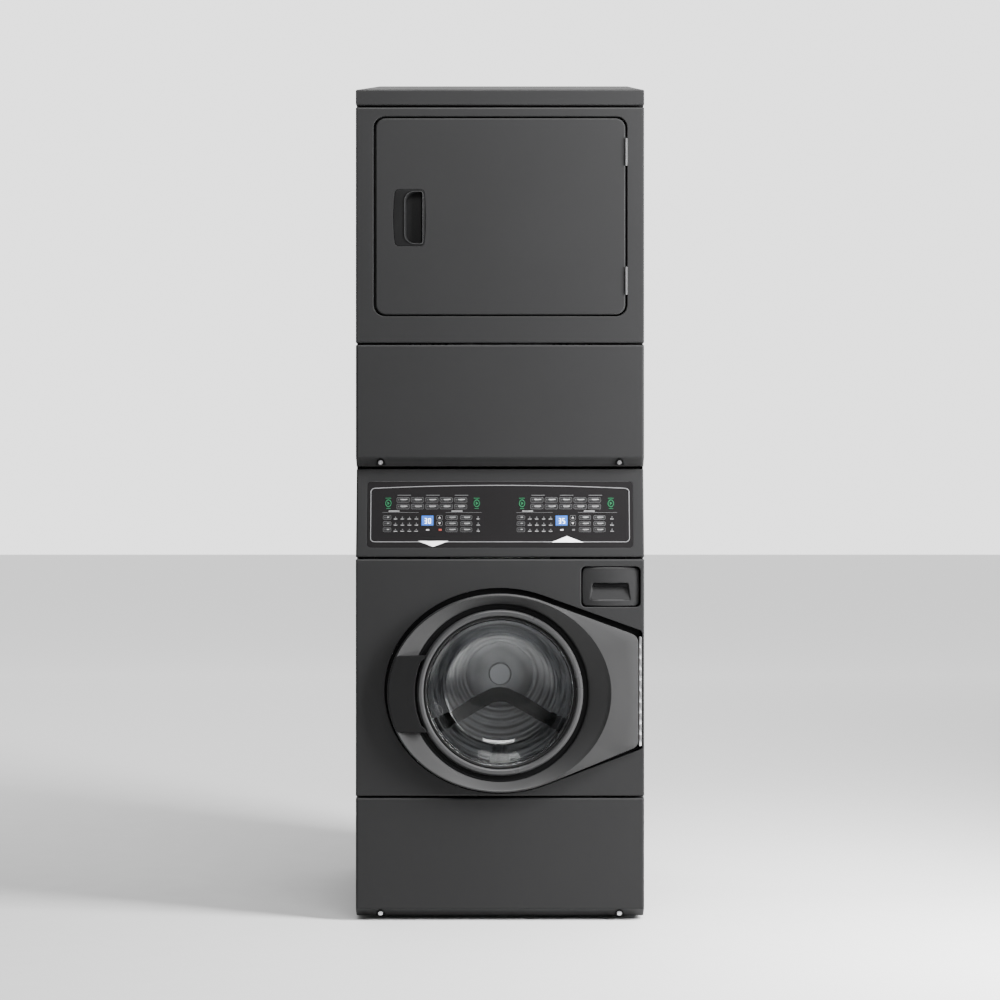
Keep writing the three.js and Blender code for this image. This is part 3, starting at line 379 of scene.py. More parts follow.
def hull(points):
    pts = sorted(set(points))

    def half(seq):
        h = []
        for p in seq:
            while len(h) > 1 and ((h[-1][0] - h[-2][0]) * (p[1] - h[-2][1])
                                  - (h[-1][1] - h[-2][1]) * (p[0] - h[-2][0])) <= 0:
                h.pop()
            h.append(p)
        return h[:-1]

    return half(pts) + half(pts[::-1])


def polar(loop, cz, n=288):
    """The same outline as n radii, one for each equal turn about (0, cz)."""
    radii = []
    m = len(loop)
    for k in range(n):
        a = 2 * math.pi * k / n
        dx, dz = math.cos(a), math.sin(a)
        best = 0.0
        for i in range(m):
            x1, z1 = loop[i][0], loop[i][1] - cz
            x2, z2 = loop[(i + 1) % m][0], loop[(i + 1) % m][1] - cz
            den = dx * (z2 - z1) - dz * (x2 - x1)
            if abs(den) < 1e-9:
                continue
            t = (x1 * (z2 - z1) - z1 * (x2 - x1)) / den
            u = (x1 * dz - z1 * dx) / den
            if t > 0 and -1e-6 <= u <= 1 + 1e-6:
                best = max(best, t)
        radii.append(best)
    return radii


N = 288
ANG = [2 * math.pi * k / N for k in range(N)]


def ellipse(rx, rz, cz, n=360):
    return [(rx * math.cos(2 * math.pi * k / n), cz + rz * math.sin(2 * math.pi * k / n)) for k in range(n)]


def smooth_radii(r, passes=6):
    for _ in range(passes):
        r = [(r[i - 1] + 2 * r[i] + r[(i + 1) % len(r)]) / 4 for i in range(len(r))]
    return r


door_hull = hull(ellipse(DOOR_RX, DOOR_RZ, Z_DOOR) + [
    (WING_X, Z_DOOR + 133.5), (WING_X, Z_DOOR - 126.5)])
R_OUT = smooth_radii(polar(door_hull, Z_DOOR), 2)
R_RIDGE = polar(ellipse(DOOR_RX - 4, DOOR_RZ - 4, Z_DOOR), Z_DOOR)
dish_hull = hull(ellipse(DOOR_RX + 6, DOOR_RZ + 8, Z_DOOR + 4) + [
    (HINGE_X + 5, Z_DOOR + 145), (HINGE_X + 5, Z_DOOR - 132)])
R_DISH = polar(dish_hull, Z_DOOR)


def loop_at(radii, y, d=0.0):
    """The radii as points round the door's middle, grown by d, at one depth or at one for each point."""
    ys = y if isinstance(y, list) else [y] * N
    return [((r + d) * math.cos(a), yy, Z_DOOR + (r + d) * math.sin(a)) for r, a, yy in zip(radii, ANG, ys)]


def drawer_opening(d):
    """The drawer's hole in the front panel, grown by d."""
    x0, x1, z0, z1 = DRAWER_HOLE
    return rrect(x0 - d, x1 + d, z0 - d, z1 + d, 11 + d)


# washer front panel, with its dish, its door hole and its drawer hole
m = Mesh()
outer = m.strips(front_rings(-HALF, HALF, *WASHER_FRONT))
dish = []
for k in range(9):
    t = k / 8
    dish.append(loop_at(R_DISH, YF + 8 * (t * t * (3 - 2 * t)), 1.6 * (1 - t)))
dish = m.strips(dish)
drawer_hole = m.strips(lip_loops(drawer_opening, YF, 10, 2.2))
m.fill(outer[-1], dish[0], drawer_hole[0])
hole = m.strips([loop_at([HOLE_R + 4] * N, YF + 8), loop_at([HOLE_R + 1] * N, YF + 8.8),
                 loop_at([HOLE_R] * N, YF + 10.5), loop_at([HOLE_R] * N, YF + 14)])
m.fill(dish[-1], hole[0])
even_normals(make("washer_front_panel_shown", m.v, m.f, "panel_paint", "cabinet",
                  ["washer_front_panel"], 50))

# the dish's floor: a near-black ring laid on it as painted shade, for the shadow in the gap round the door
m = Mesh()
m.strips([loop_at(R_DISH, YF + 5.4, 0.9), loop_at(R_DISH, YF + 7.6, -0.6),
          loop_at([HOLE_R + 4] * N, YF + 7.6)])
make("washer_dish_painted_shade", m.v, m.f, "black_plastic", "cabinet", material=M["painted_shade_black"])


def kick(name, z0, z1, node):
    """A lower panel with a sloped foot and rounded upright edges."""
    edge, back = 4.5, 45
    prof = [(YF + back, z1), (YF + edge, z1)]
    for k in range(1, 7):
        a = math.pi / 2 * k / 6
        prof.append((YF + edge * (1 - math.sin(a)), z1 - edge * (1 - math.cos(a))))
    prof += [(YF, z0 + 25), (YF + 0.5, z0 + 22.5), (YF + 2, z0 + 20), (YF + 22, z0 + 2), (YF + 24, z0 + 0.6),
             (YF + 27, z0), (YF + back, z0)]
    r = 6
    left = sorted(-HALF + r * (1 - math.sin(math.pi / 2 * k / 6)) for k in range(7))
    m = Mesh()
    rings = []
    for x in left + [-x for x in left[::-1]]:
        inset = r - math.sqrt(max(0.0, r * r - (r - min(r, HALF - abs(x))) ** 2))
        column = [(x, y + inset if y < YF + back - 5 else y, z) for y, z in prof]
        rings.append(m.ring([(px, min(YF + back, py), pz) for px, py, pz in column]))
    for a, b in zip(rings, rings[1:]):
        m.bridge(a, b, closed=False)
    m.cap(rings[0])
    m.cap(rings[-1])
    even_normals(make(name, m.v, m.f, "panel_paint", "cabinet", [node], 40))


kick("washer_lower_panel_shown", *WASHER_KICK, "washer_lower_panel")
kick("dryer_lower_panel_shown", *DRYER_KICK, "dryer_lower_panel")

# dryer front panel with its door pocket
DD = (-296.3, 297.5, 1434.0, 1901.0)
DHX = 299.0
HINGE_Z = (1819.5, 1515.0)


def door_pocket(d):
    """The sunk pocket that the dryer door closes into, grown by d."""
    return rrect(DD[0] - 3 - d, DD[1] + 3 + d, DD[2] - 3 - d, DD[3] + 3 + d, 27 + d, 12)


def load_port(d):
    """The dryer's loading hole, grown by d."""
    return rrect(-188 - d, 188 + d, 1477 - d, 1823 + d, 60 + d, 12)


m = Mesh()
outer = m.strips(front_rings(-HALF, HALF, *DRYER_FRONT))
rings = m.strips(lip_loops(door_pocket, YF, 24, 2.0))
m.fill(outer[-1], rings[0])
hole = m.strips(lip_loops(load_port, YF + 24, 8, 1.5))
m.fill(rings[-1], hole[0])
even_normals(make("dryer_front_panel_shown", m.v, m.f, "panel_paint", "cabinet", ["dryer_front_panel"], 50))


def door_skin(d):
    """The dryer door's outline, shrunk by d."""
    return rrect(DD[0] + 2 + d, DD[1] - 1 - d, DD[2] + 1 + d, DD[3] - 1 - d, 24 - d, 12)


# dryer door skin with the hole for its handle
m = Mesh()
loops = [at_y(door_skin(2), YF + 20), at_y(door_skin(0), YF + 19.6), at_y(door_skin(0), YF + 3.5)]
for k in range(1, 7):
    a = math.pi / 2 * k / 6
    loops.append(at_y(door_skin(3.5 * (1 - math.cos(a))), YF + 3.5 * (1 - math.sin(a))))
outer = m.strips(loops)
GX0, GX1, GZ0, GZ1 = -249.3, -179.0, 1597.0, 1731.0


def grip_outline(d, bow=4.2, n=14):
    """The handle plate's outline: upright sides bowed a little outwards."""
    x0, x1, z0, z1 = GX0 + 1.5 - d, GX1 - 1.5 + d, GZ0 - d, GZ1 + d
    xc, zc, half_h = (x0 + x1) / 2, (z0 + z1) / 2, (z1 - z0) / 2
    pts = []
    for x, z in subdivided(rrect(x0, x1, z0, z1, 8 + d, 5), 60, n):
        out = math.copysign(bow, x - xc) if abs(x - xc) > 20 else 0
        pts.append((x + out * (1 - ((z - zc) / half_h) ** 2), z))
    return pts


def grip_hole(d):
    return grip_outline(d + 0.4)


hole = m.strips(lip_loops(grip_hole, YF, 10, 1.0))
m.fill(outer[-1], hole[0])
even_normals(make("dryer_door_outer_shown", m.v, m.f, "panel_paint", "dryer_door", ["dryer_door_outer"], 50))


def d_pocket(d):
    """The finger cup: straight on the right, big rounds on the left."""
    x0, x1, z0, z1 = -225.0 - d, -183.3 + d, 1603 - d, 1725.5 + d
    pts = []
    for cx, cz, a0, r in ((x1 - 6 - d, z0 + 6 + d, -90, 6 + d), (x1 - 6 - d, z1 - 6 - d, 0, 6 + d),
                          (x0 + 22 + d, z1 - 22 - d, 90, 22 + d), (x0 + 22 + d, z0 + 22 + d, 180, 22 + d)):
        for i in range(11):
            a = math.radians(a0 + 9 * i)
            pts.append((cx + r * math.cos(a), cz + r * math.sin(a)))
    return pts


m = Mesh()
loops = [at_y(grip_outline(0), YF + 10), at_y(grip_outline(0), YF + 0.6), at_y(grip_outline(-0.8), YF - 0.2)]
outer = m.strips(loops)
rim = m.strips([at_y(d_pocket(1.6), YF - 0.2), at_y(d_pocket(1.0), YF - 1.4), at_y(d_pocket(0.2), YF - 1.4),
                at_y(d_pocket(-0.6), YF - 0.4), at_y(d_pocket(-2.0), YF + 6), at_y(d_pocket(-4.5), YF + 13)])
m.fill(outer[-1], rim[0])
m.cap(rim[-1])
m.cap(outer[0])
even_normals(make("dryer_door_handle_shown", m.v, m.f, "black_plastic", "dryer_door",
                  ["dryer_door_handle"], 50))
# a lighter skin over the finger cup's rim: a painted highlight for the light along the cup's edge
m = Mesh()
m.strips([at_y(d_pocket(1.5), YF - 0.4), at_y(d_pocket(1.1), YF - 1.7), at_y(d_pocket(0.3), YF - 1.7),
          at_y(d_pocket(-0.2), YF - 0.4)])
make("dryer_handle_rim_painted_highlight", m.v, m.f, "ring_plastic", "dryer_door")


def barrel(cx, cy, z0, z1, count, groove):
    """An upright hinge barrel as a new mesh, with count knuckles between z0 and z1."""
    prof = [(0, z0)]
    for k in range(count):
        a, b = z0 + (z1 - z0) * k / count, z0 + (z1 - z0) * (k + 1) / count
        prof += [(2.9, a), (3.3, a + groove), (3.3, b - groove), (2.9, b)]
    prof.append((0, z1))
    me = Mesh()
    rings = []
    for k in range(28):
        a = 2 * math.pi * k / 28
        rings.append(me.ring([(cx + r * math.cos(a), cy + r * math.sin(a), z) for r, z in prof]))
    for k in range(28):
        me.bridge(rings[k], rings[(k + 1) % 28], closed=False)
    return me


for end, zc in zip(("upper", "lower"), HINGE_Z):
    m = barrel(DHX, YF, zc - 32.5, zc + 32.5, 5, 0.5)
    make(f"dryer_door_hinge_{end}_shown", m.v, m.f, "bare_steel", "dryer_door", [f"dryer_door_hinge_{end}"],
         material=M["hinge_steel"])


def slab_ring(x0, x1, y0, y1, z, r=3.0, n=5):
    """A level rounded rectangle at height z."""
    return [(x, y, z) for x, y in rrect(x0, x1, y0, y1, r, n)]


# top cover: upright band, sloped crown and a flat lid
m = Mesh()
cover = [slab_ring(-HALF + 2.5, HALF - 2.5, YF + 2.5, YB - 2.5, 1930.6),
         slab_ring(-HALF + 0.6, HALF - 0.6, YF + 0.6, YB - 0.6, 1931.6),
         slab_ring(-HALF, HALF, YF, YB, 1934), slab_ring(-HALF, HALF, YF, YB, 1963.5)]
for k in range(1, 6):
    a = math.pi / 2 * k / 5
    d = 4.5 * (1 - math.cos(a))
    cover.append(slab_ring(-HALF + d, HALF - d, YF + d, YB - d, 1963.5 + 4.6 * math.sin(a)))
cover += [slab_ring(-289.5, 305.5, YF + 40.5, YB - 42, 1983.4), slab_ring(-287, 303, YF + 43, YB - 44, 1984),
          slab_ring(-284, 300, YF + 46, YB - 47, 1984)]
rings = m.strips(cover)
m.cap(rings[-1])
m.cap(rings[0])
even_normals(make("dryer_top_cover_shown", m.v, m.f, "panel_paint", "cabinet", ["dryer_top_cover"], 30))

# ---------------------------------------------------------------- washer door
H0, H1 = Z_DOOR - 91.5, Z_DOOR + 88.5


def notch(radii, deep=3.4):
    """How far the rim steps back behind the grip, for each point of a loop."""
    steps = []
    for r, a in zip(radii, ANG):
        z = Z_DOOR + r * math.sin(a)
        steps.append(deep if math.cos(a) < 0 and H0 + 1 < z < H1 - 1 else 0.0)
    return steps


m = Mesh()
NOTCH = notch(R_RIDGE)
f_out = []
for ro, rr, low in zip(R_OUT, R_RIDGE, NOTCH):
    t = max(0.0, min(1.0, (ro - rr - 4.5) / 55))
    f_out.append(RIM + 3.5 + 11.0 * t + low * 0.4)
ridge_y = [RIM + low for low in NOTCH]
wall = [loop_at(R_OUT, YF + 4, -1.0), loop_at(R_OUT, YF + 2, 0)]
wall.append(loop_at(R_OUT, [y + 2.2 for y in f_out], 0))
wall.append(loop_at(R_OUT, [y + 0.7 for y in f_out], -0.6))
wall.append(loop_at(R_OUT, f_out, -1.8))
mid = [max(rr + 1.2, ro - 3.0) for ro, rr in zip(R_OUT, R_RIDGE)]
for s in (0.35, 0.7):
    wall.append(loop_at([a + (b + 1.2 - a) * s for a, b in zip(mid, R_RIDGE)],
                        [y + (top + 0.5 - y) * s for y, top in zip(f_out, ridge_y)]))
for lift, inset in ((0.15, 1.0), (0.0, 0.0), (0.4, -1.0), (1.2, -1.9)):
    wall.append(loop_at(R_RIDGE, [y + lift for y in ridge_y], inset))
for s in (0.2, 0.4, 0.6, 0.8, 0.93):
    rad = [(rr - 2) * (1 - s) + 209.5 * s for rr in R_RIDGE]
    wall.append(loop_at(rad, [RIM + 1.2 + (22.3 - 1.2) * s ** 1.05 + low * (1 - s) for low in NOTCH]))
wall += [loop_at([208.6] * N, YF - 2.6), loop_at([207.4] * N, YF - 2.0), loop_at([203.5] * N, YF - 1.5),
         loop_at([177] * N, YF - 1.5), loop_at([176] * N, YF - 0.8), loop_at([176] * N, YF + 4)]
rings = m.strips(wall)
m.bridge(rings[-1], rings[0])
make("washer_door_frame_shown", m.v, m.f, "door_plastic", "washer_door", ["washer_door_frame"], 26)


def grip_loop(y, grow=0.0, n=26):
    """The grip's outline: the door's own edge on the left, an arc round the glass on the right."""
    pts = []
    z0, z1 = H0 - grow, H1 + grow
    for k in range(n + 1):
        z = z0 + (z1 - z0) * k / n
        t = (z - Z_DOOR) / (DOOR_RZ - 4)
        pts.append((-(DOOR_RX - 2.6 + grow) * math.sqrt(max(0, 1 - t * t)), z))
    for k in range(n + 1):
        z = z1 + (z0 - z1) * k / n
        step = 6 if abs(z - Z_DOOR) > 80 else 0
        pts.append((step - math.sqrt((201.5 - grow) ** 2 - (z - Z_DOOR) ** 2), z))
    return [(x, y, z) for x, z in pts]


# the grip block on the left, with its finger gap facing the glass
m = Mesh()
g = m.strips([grip_loop(YF - 3), grip_loop(RIM + 1.9), grip_loop(RIM + 0.7, -0.5),
              grip_loop(RIM + 0.1, -1.8)])
m.cap(g[0])
m.cap(g[-1])
even_normals(make("washer_door_handle_shown", m.v, m.f, "black_plastic", "washer_door",
                  ["washer_door_handle"], 40))

# the rings round the glass, from the outside in
# the channel between the trim and the frame is coloured near-black as painted shade, for the shadow in that
# gap
channel = round_corners([(196, YF - 1.6), (196, YF - 2.4), (206.5, YF - 2.4), (208.4, YF - 6.5),
                         (209.6, YF - 6.5), (208.6, YF - 1.6)], 0.6)
lathe("washer_door_channel", channel, Z_DOOR, "black_plastic", "washer_door", n=192,
      material=M["painted_shade_black"])
trim = round_corners([(181, YF - 2.2), (181, YF - 6), (184, YF - 9.8), (192, YF - 9.8), (196.5, YF - 6),
                      (196.5, YF - 2.2)], 2.2, 4)
lathe("washer_door_trim_shown", trim, Z_DOOR, "ring_plastic", "washer_door", ["washer_door_trim"], 192)
inner_trim = round_corners([(174, YF + 2), (174, YF - 3), (177, YF - 5), (180.4, YF - 4), (180.4, YF - 1.9),
                            (176.4, YF - 1.7), (176.4, YF + 2)], 0.8)
lathe("washer_door_inner_trim", inner_trim, Z_DOOR, "black_plastic", "washer_door", n=160)
glass = [(0, 119), (40, 118.4), (75, 116.8), (104, 113.6), (124, 108.5), (138, 100), (147, 89), (154, 74),
         (161, 52), (167, 32), (172, 14), (175, 9.2), (195.5, 9), (195.5, 4.6), (170, 4.6), (166, 12),
         (161.5, 30), (155.5, 50), (148.5, 71), (141.5, 85.5), (133.5, 95.5), (121, 103.4), (102, 108.4),
         (74, 111.6), (40, 113.3), (0, 114)]
prof = [(r, YF + y) for r, y in glass]
lathe("washer_door_glass_shown", prof, Z_DOOR, "door_glass", "washer_door", ["washer_door_glass"], 160,
      sharp=60)
back = round_corners([(180, YF + 9.4), (205.8, YF + 9.4), (205.8, YF + 24), (196, YF + 24),
                      (180, YF + 16)], 2.5)
lathe("washer_door_back_ring_shown", back, Z_DOOR, "black_plastic", "washer_door",
      ["washer_door_back_ring"], 144)

# the hinge strip: a rolled steel edge in short knuckles
z0, z1 = Z_DOOR - 125, Z_DOOR + 132
m = barrel(HINGE_X, YF - 8, z0, z1, 10, 0.7)
m.box(HINGE_X - 1.1, HINGE_X + 1.1, YF - 6, YF + 7.6, z0, z1)
make("washer_door_hinge_shown", m.v, m.f, "bare_steel", "cabinet", ["washer_door_hinge"])

gasket = round_corners([(226, 10.5), (226, 28), (234, 40), (222, 52), (234, 66), (224, 80),
                        (224, 92.4), (220, 92.4), (220, 79), (229, 66), (217, 52), (228, 41),
                        (222, 34), (189, 35), (188, 30), (218, 30), (218, 10.5)], 3.0, 3)
lathe("door_gasket_shown", [(r, YF + y) for r, y in gasket], DRUM_Z, "gasket_rubber", "cabinet",
      ["door_gasket"], 144)

# ---------------------------------------------------------------- drums


def math_node(t, op, a, b=None, c=None):
    n = t.nodes.new("ShaderNodeMath")
    n.operation = op
    for i, v in enumerate((a, b, c)):
        if v is None:
            continue
        if isinstance(v, (int, float)):
            n.inputs[i].default_value = v
        else:
            t.links.new(v, n.inputs[i])
    return n.outputs[0]


def punched(name, cz, radius, pitch, hole, wall, color=(0.5, 0.5, 0.51), rough=0.26):
    """Brushed steel with rows of round holes: round the wall, or as a grid on a flat end."""
    m, t, b = base_material(name, color, rough, 1.0)
    vec = coords(t)
    sep = t.nodes.new("ShaderNodeSeparateXYZ")
    t.links.new(vec, sep.inputs[0])
    x, y, z = sep.outputs
    z = math_node(t, "SUBTRACT", z, cz)
    if wall:
        turns = round(2 * math.pi * radius / pitch)
        u = math_node(t, "MULTIPLY", math_node(t, "ARCTAN2", z, x), turns / (2 * math.pi))
        v = math_node(t, "MULTIPLY", y, 1 / pitch)
    else:
        u = math_node(t, "MULTIPLY", x, 1 / pitch)
        v = math_node(t, "MULTIPLY", z, 1 / pitch)
    row = math_node(t, "MODULO", math_node(t, "FLOOR", v), 2)
    u = math_node(t, "ADD", u, math_node(t, "MULTIPLY", row, 0.5))
    du = math_node(t, "SUBTRACT", math_node(t, "FRACT", u), 0.5)
    dv = math_node(t, "SUBTRACT", math_node(t, "FRACT", v), 0.5)
    d2 = math_node(t, "ADD", math_node(t, "MULTIPLY", du, du), math_node(t, "MULTIPLY", dv, dv))
    d = math_node(t, "SQRT", d2)
    h = hole / pitch / 2
    mask = ramp(t, d, (1, 1, 1), (0, 0, 0), h * 0.9, h * 1.15)
    streak = noise(t, vec, 50.0, 3, (1, 10, 1) if wall else (1, 1, 1))
    steel = ramp(t, streak, scaled(color, 0.75), scaled(color, 1.1))
    mix = t.nodes.new("ShaderNodeMix")
    mix.data_type = "RGBA"
    t.links.new(mask, mix.inputs[0])
    t.links.new(steel, mix.inputs[6])
    mix.inputs[7].default_value = (0.004, 0.004, 0.004, 1)
    t.links.new(mix.outputs[2], b.inputs["Base Color"])
    inv = math_node(t, "SUBTRACT", 1.0, mask)
    bump(t, b, inv, 0.6, 0.0012)
    return m


M["wash_wall"] = punched("washer_drum_wall", 0.54, 0.262, 0.016, 0.0045, True)
grained("drum_end_steel", (0.27, 0.27, 0.275), 0.36, 1.0, grain=500, strength=0.15, tone=0.12, cloud=14)
M["dry_end"] = punched("dryer_drum_end", 1.6, 0.31, 0.018, 0.008, False, (0.45, 0.45, 0.46), 0.35)

DY0, DY1 = -219.5, 198.5
wall = [(190, DY0), (192, DY0 - 0.1), (228, DY0 + 0.5), (252, DY0 + 3), (261, DY0 + 10), (263, DY0 + 20)]
for k in range(1, 12):
    y = DY0 + 20 + k * 30.5
    wall += [(263, y - 5), (261.4, y - 2), (261.4, y + 2), (263, y + 5)]
wall += [(263, DY1 - 16), (260, DY1 - 5), (252, DY1), (249.5, DY1 - 2.4), (257.5, DY1 - 7),
         (260.5, DY1 - 17), (260.5, DY1 - 30)]
inner = [(260.6, DY0 + 22), (258.6, DY0 + 12), (250.5, DY0 + 5.4), (228, DY0 + 3), (193, DY0 + 2.6),
         (190, DY0 + 2)]
lathe("washer_drum_shown", wall + inner, DRUM_Z, "drum_steel", "washer_drum", ["washer_drum"], 160,
      material=M["wash_wall"])
end = [(15, 244.2), (15, DY1 + 4), (60, DY1 + 4), (64, DY1), (250, DY1), (250, DY1 - 3),
       (246, DY1 - 6)]
for r in (236, 214, 192, 170, 148, 126, 104):
    end += [(r, DY1 - 8), (r - 3, DY1 - 12), (r - 8, DY1 - 14), (r - 13, DY1 - 12), (r - 16, DY1 - 8)]
end += [(76, DY1 - 14), (60, DY1 - 17), (0, DY1 - 18)]
lathe("washer_drum_end_wall", [(0, 244.2)] + end, DRUM_Z, "drum_steel", "washer_drum", n=144, closed=False,
      material=M["drum_end_steel"], sharp=60)
hub = [(0, DY1 - 18), (31, DY1 - 18), (31, DY1 - 22), (27, DY1 - 25), (0, DY1 - 26)]
lathe("washer_drum_hub_cap", hub, DRUM_Z, "drum_steel", "washer_drum", n=72, closed=False,
      material=M["line_silver"])


def chevron(y, g):
    """The bent band's outline, drawn in by g above and below."""
    upper = [(22, 502), (70, 478), (150, 428), (176, 424)]
    lower = [(164, 386), (140, 392), (62, 440), (18, 464)]
    over = [(-x, z) for x, z in upper[::-1]] + [(0, 505)] + upper
    under = lower + [(0, 466)] + [(-x, z) for x, z in lower[::-1]]
    return [(x, y, z - g) for x, z in over] + [(x, y, z + g) for x, z in under]


# the bent band under the hub, low on the end wall, coloured near-black as painted shade
m = Mesh()
c = m.strips([chevron(DY1 - 12, 0), chevron(DY1 - 20, 0), chevron(DY1 - 22, 2.5)])
m.cap(c[-1])
make("washer_drum_end_band_painted_shade", m.v, m.f, "drum_steel", "washer_drum", material=M["painted_shade_black"], sharp=50)


def lifter(name, cz, radius, tall, wide, y0, y1, turn, body, slot, material):
    """A hollow drum baffle: a ridge with a rounded top and sloped ends."""
    m = Mesh()
    a = math.radians(turn)
    stations = [(y0, 0.0), (y0 + 18, 0.55), (y0 + 42, 0.9), (y0 + 80, 1.0), (y1 - 80, 1.0), (y1 - 30, 0.96),
                (y1, 0.9)]
    rings = []
    for y, s in stations:
        pts = []
        for k in range(21):
            t = -1 + 2 * k / 20
            across = wide * t * (0.6 + 0.4 * s)
            h = tall * s * (1 - abs(t) ** 2.2) ** 0.85
            along = math.sqrt(radius ** 2 - across ** 2) - 1.5 - h
            pts.append((along * math.cos(a) - across * math.sin(a), y,
                        cz + along * math.sin(a) + across * math.cos(a)))
        rings.append(m.ring(pts))
    for p, q in zip(rings, rings[1:]):
        m.bridge(p, q, closed=False)
    m.cap(rings[-1])
    return make(name, m.v, m.f, slot, body, sharp=60, material=material)


for i, turn in enumerate((-90, 30, 150)):
    lifter(f"washer_drum_lifter_{i + 1}", DRUM_Z, 260, 68, 36, DY0 + 28, DY1 - 12, turn, "washer_drum",
           "drum_steel", M["drum_steel"])

wall = [(300, -246.5), (303, -247), (312, -246), (318, -240)]
for y in (-150, -40, 70, 180):
    wall += [(318, y - 8), (315.5, y - 4), (315.5, y + 4), (318, y + 8)]
wall += [(318, 262), (315, 269.5), (309, 269.5), (309, 267), (315.6, 261), (315.6, -238), (311, -243.6),
         (300, -244.4)]
lathe("dryer_drum_shown", wall, DRYER_Z, "drum_steel", "dryer_drum", ["dryer_drum"], 160,
      material=M["drum_steel"])
end = [(0, 269.5), (311, 269.5), (311, 266), (240, 262), (232, 256), (60, 256), (52, 260), (0, 260)]
lathe("dryer_drum_end_wall", end, DRYER_Z, "drum_steel", "dryer_drum", n=128, closed=False,
      material=M["dry_end"])
for i, turn in enumerate((90, 210, 330)):
    lifter(f"dryer_drum_baffle_{i + 1}", DRYER_Z, 315, 60, 30, -205, 255, turn, "dryer_drum", "drum_steel",
           M["inner_white_paint"])

# ---------------------------------------------------------------- drawer


def drawer_outline(d, bow=1.8, n=8):
    """The drawer front's outline: a rounded rectangle with slightly bowed sides."""
    x0, x1, z0, z1 = 193.4 + bow - d, 330.6 - bow + d, 745.4 - d, 836.6 + d
    zc, hh, xc, hw = (z0 + z1) / 2, (z1 - z0) / 2, (x0 + x1) / 2, (x1 - x0) / 2
    out = []
    for x, z in subdivided(rrect(x0, x1, z0, z1, 9 + d, 5), 30, n):
        wx = max(0.0, 1 - ((z - zc) / hh) ** 2)
        wz = max(0.0, 1 - ((x - xc) / hw) ** 2)
        out.append((x + bow * wx * (x - xc) / hw, z + 1.2 * wz * (z - zc) / hh))
    return out


def bulged(loop, lift=0.0):
    """Puts an outline on the drawer's bulged front."""
    pts = []
    for x, z in loop:
        fall = 8.5 * ((x - DRAWER_X) / 68.6) ** 2 + 1.5 * ((z - DRAWER_Z) / 46) ** 2
        pts.append((x, YF - 1.9 + lift + fall, z))
    return pts


def between(a, b, t):
    return [(p[0] + (q[0] - p[0]) * t, p[1] + (q[1] - p[1]) * t) for p, q in zip(a, b)]


def finger_recess(d):
    """The recess's outline, narrower at the top, with rounded corners, grown by d."""
    corners = [(213 - d, 759 - d), (309 + d, 759 - d), (303 + d, 800 + d), (219 - d, 800 + d)]
    out = []
    for i in range(4):
        (px, pz), (x, z), (nx, nz) = corners[i - 1], corners[i], corners[(i + 1) % 4]
        a = Vector((px - x, pz - z)).normalized() * 5
        b = Vector((nx - x, nz - z)).normalized() * 5
        for k in range(5):
            t = k / 4
            q = a * (1 - t) ** 2 + b * t ** 2
            out.append((x + q.x, z + q.y))
    return out


def spread(loop, count):
    """The same closed outline as evenly spaced points, from its rightmost middle, counter-clockwise."""
    pts = loop + [loop[0]]
    steps = [math.hypot(q[0] - p[0], q[1] - p[1]) for p, q in zip(pts, pts[1:])]
    total, out, i, run = sum(steps), [], 0, 0.0
    for k in range(count):
        want = total * k / count
        while run + steps[i] < want:
            run += steps[i]
            i += 1
        t = (want - run) / (steps[i] or 1.0)
        out.append(between([pts[i]], [pts[i + 1]], t)[0])
    turns = [abs(math.atan2(z - 779, x - DRAWER_X)) for x, z in out]
    start = turns.index(min(turns))
    return out[start:] + out[:start]


m = Mesh()
face = m.strips([at_y(drawer_outline(0), YF + 24), bulged(drawer_outline(0), 2.6),
                 bulged(drawer_outline(-0.9), 0.9), bulged(drawer_outline(-2.6))])
outer_line = spread(drawer_outline(-2.6), 160)
lip = spread(finger_recess(1.5), 160)
skin = m.strips([bulged(outer_line)] + [bulged(between(outer_line, lip, k / 6)) for k in range(1, 7)])
m.fill(face[-1], skin[0])
inner_lip = spread(finger_recess(0), 160)
ramp_in = spread(finger_recess(-3), 160)
scoop = m.strips([bulged(lip), bulged(between(lip, inner_lip, 0.6), 0.5), bulged(inner_lip, 1.7),
                  [(x, YF + 2.5 + 8.5 * max(0, (z - 759) / 41), z) for x, z in ramp_in]])
m.cap(scoop[-1])
m.cap(face[0])
even_normals(make("dispenser_drawer_front", m.v, m.f, "panel_paint", "dispenser_drawer", sharp=45))

# the slot at the top of the recess, filled by a near-black box as painted shade
m = Mesh()
m.box(220.5, 302.5, YF + 3.2, YF + 11.0, 791.0, 800.5)
make("drawer_slot_painted_shade", m.v, m.f, "black_plastic", "dispenser_drawer", material=M["painted_shade_black"])

# the tray behind the front, with its partitions
m = Mesh()
X0, X1, Y0, Y1, Z0, Z1 = 208.0, 316.0, -306.0, -96.5, 771.0, 825.0
m.box(X0, X1, Y0, Y1, Z0, Z0 + 2.5)
m.box(X0, X0 + 2.5, Y0, Y1, Z0 + 2.5, Z1)
m.box(X1 - 2.5, X1, Y0, Y1, Z0 + 2.5, Z1)
m.box(X0 + 2.5, X1 - 2.5, Y1 - 2.5, Y1, Z0 + 2.5, Z1)
m.box(X0 + 2.5, X1 - 2.5, Y0, Y0 + 3.0, Z0 + 2.5, Z1)
m.box(260.8, 263.2, Y0 + 3, Y1 - 2.5, Z0 + 2.5, Z1 - 4)
m.box(X0 + 2.5, 260.8, -200, -197.6, Z0 + 2.5, Z1 - 8)
m.box(268, 310, -190, -160, Z0 + 2.5, Z0 + 30)
make("dispenser_drawer_shown", m.v, m.f, "light_plastic", "dispenser_drawer", ["dispenser_drawer"])

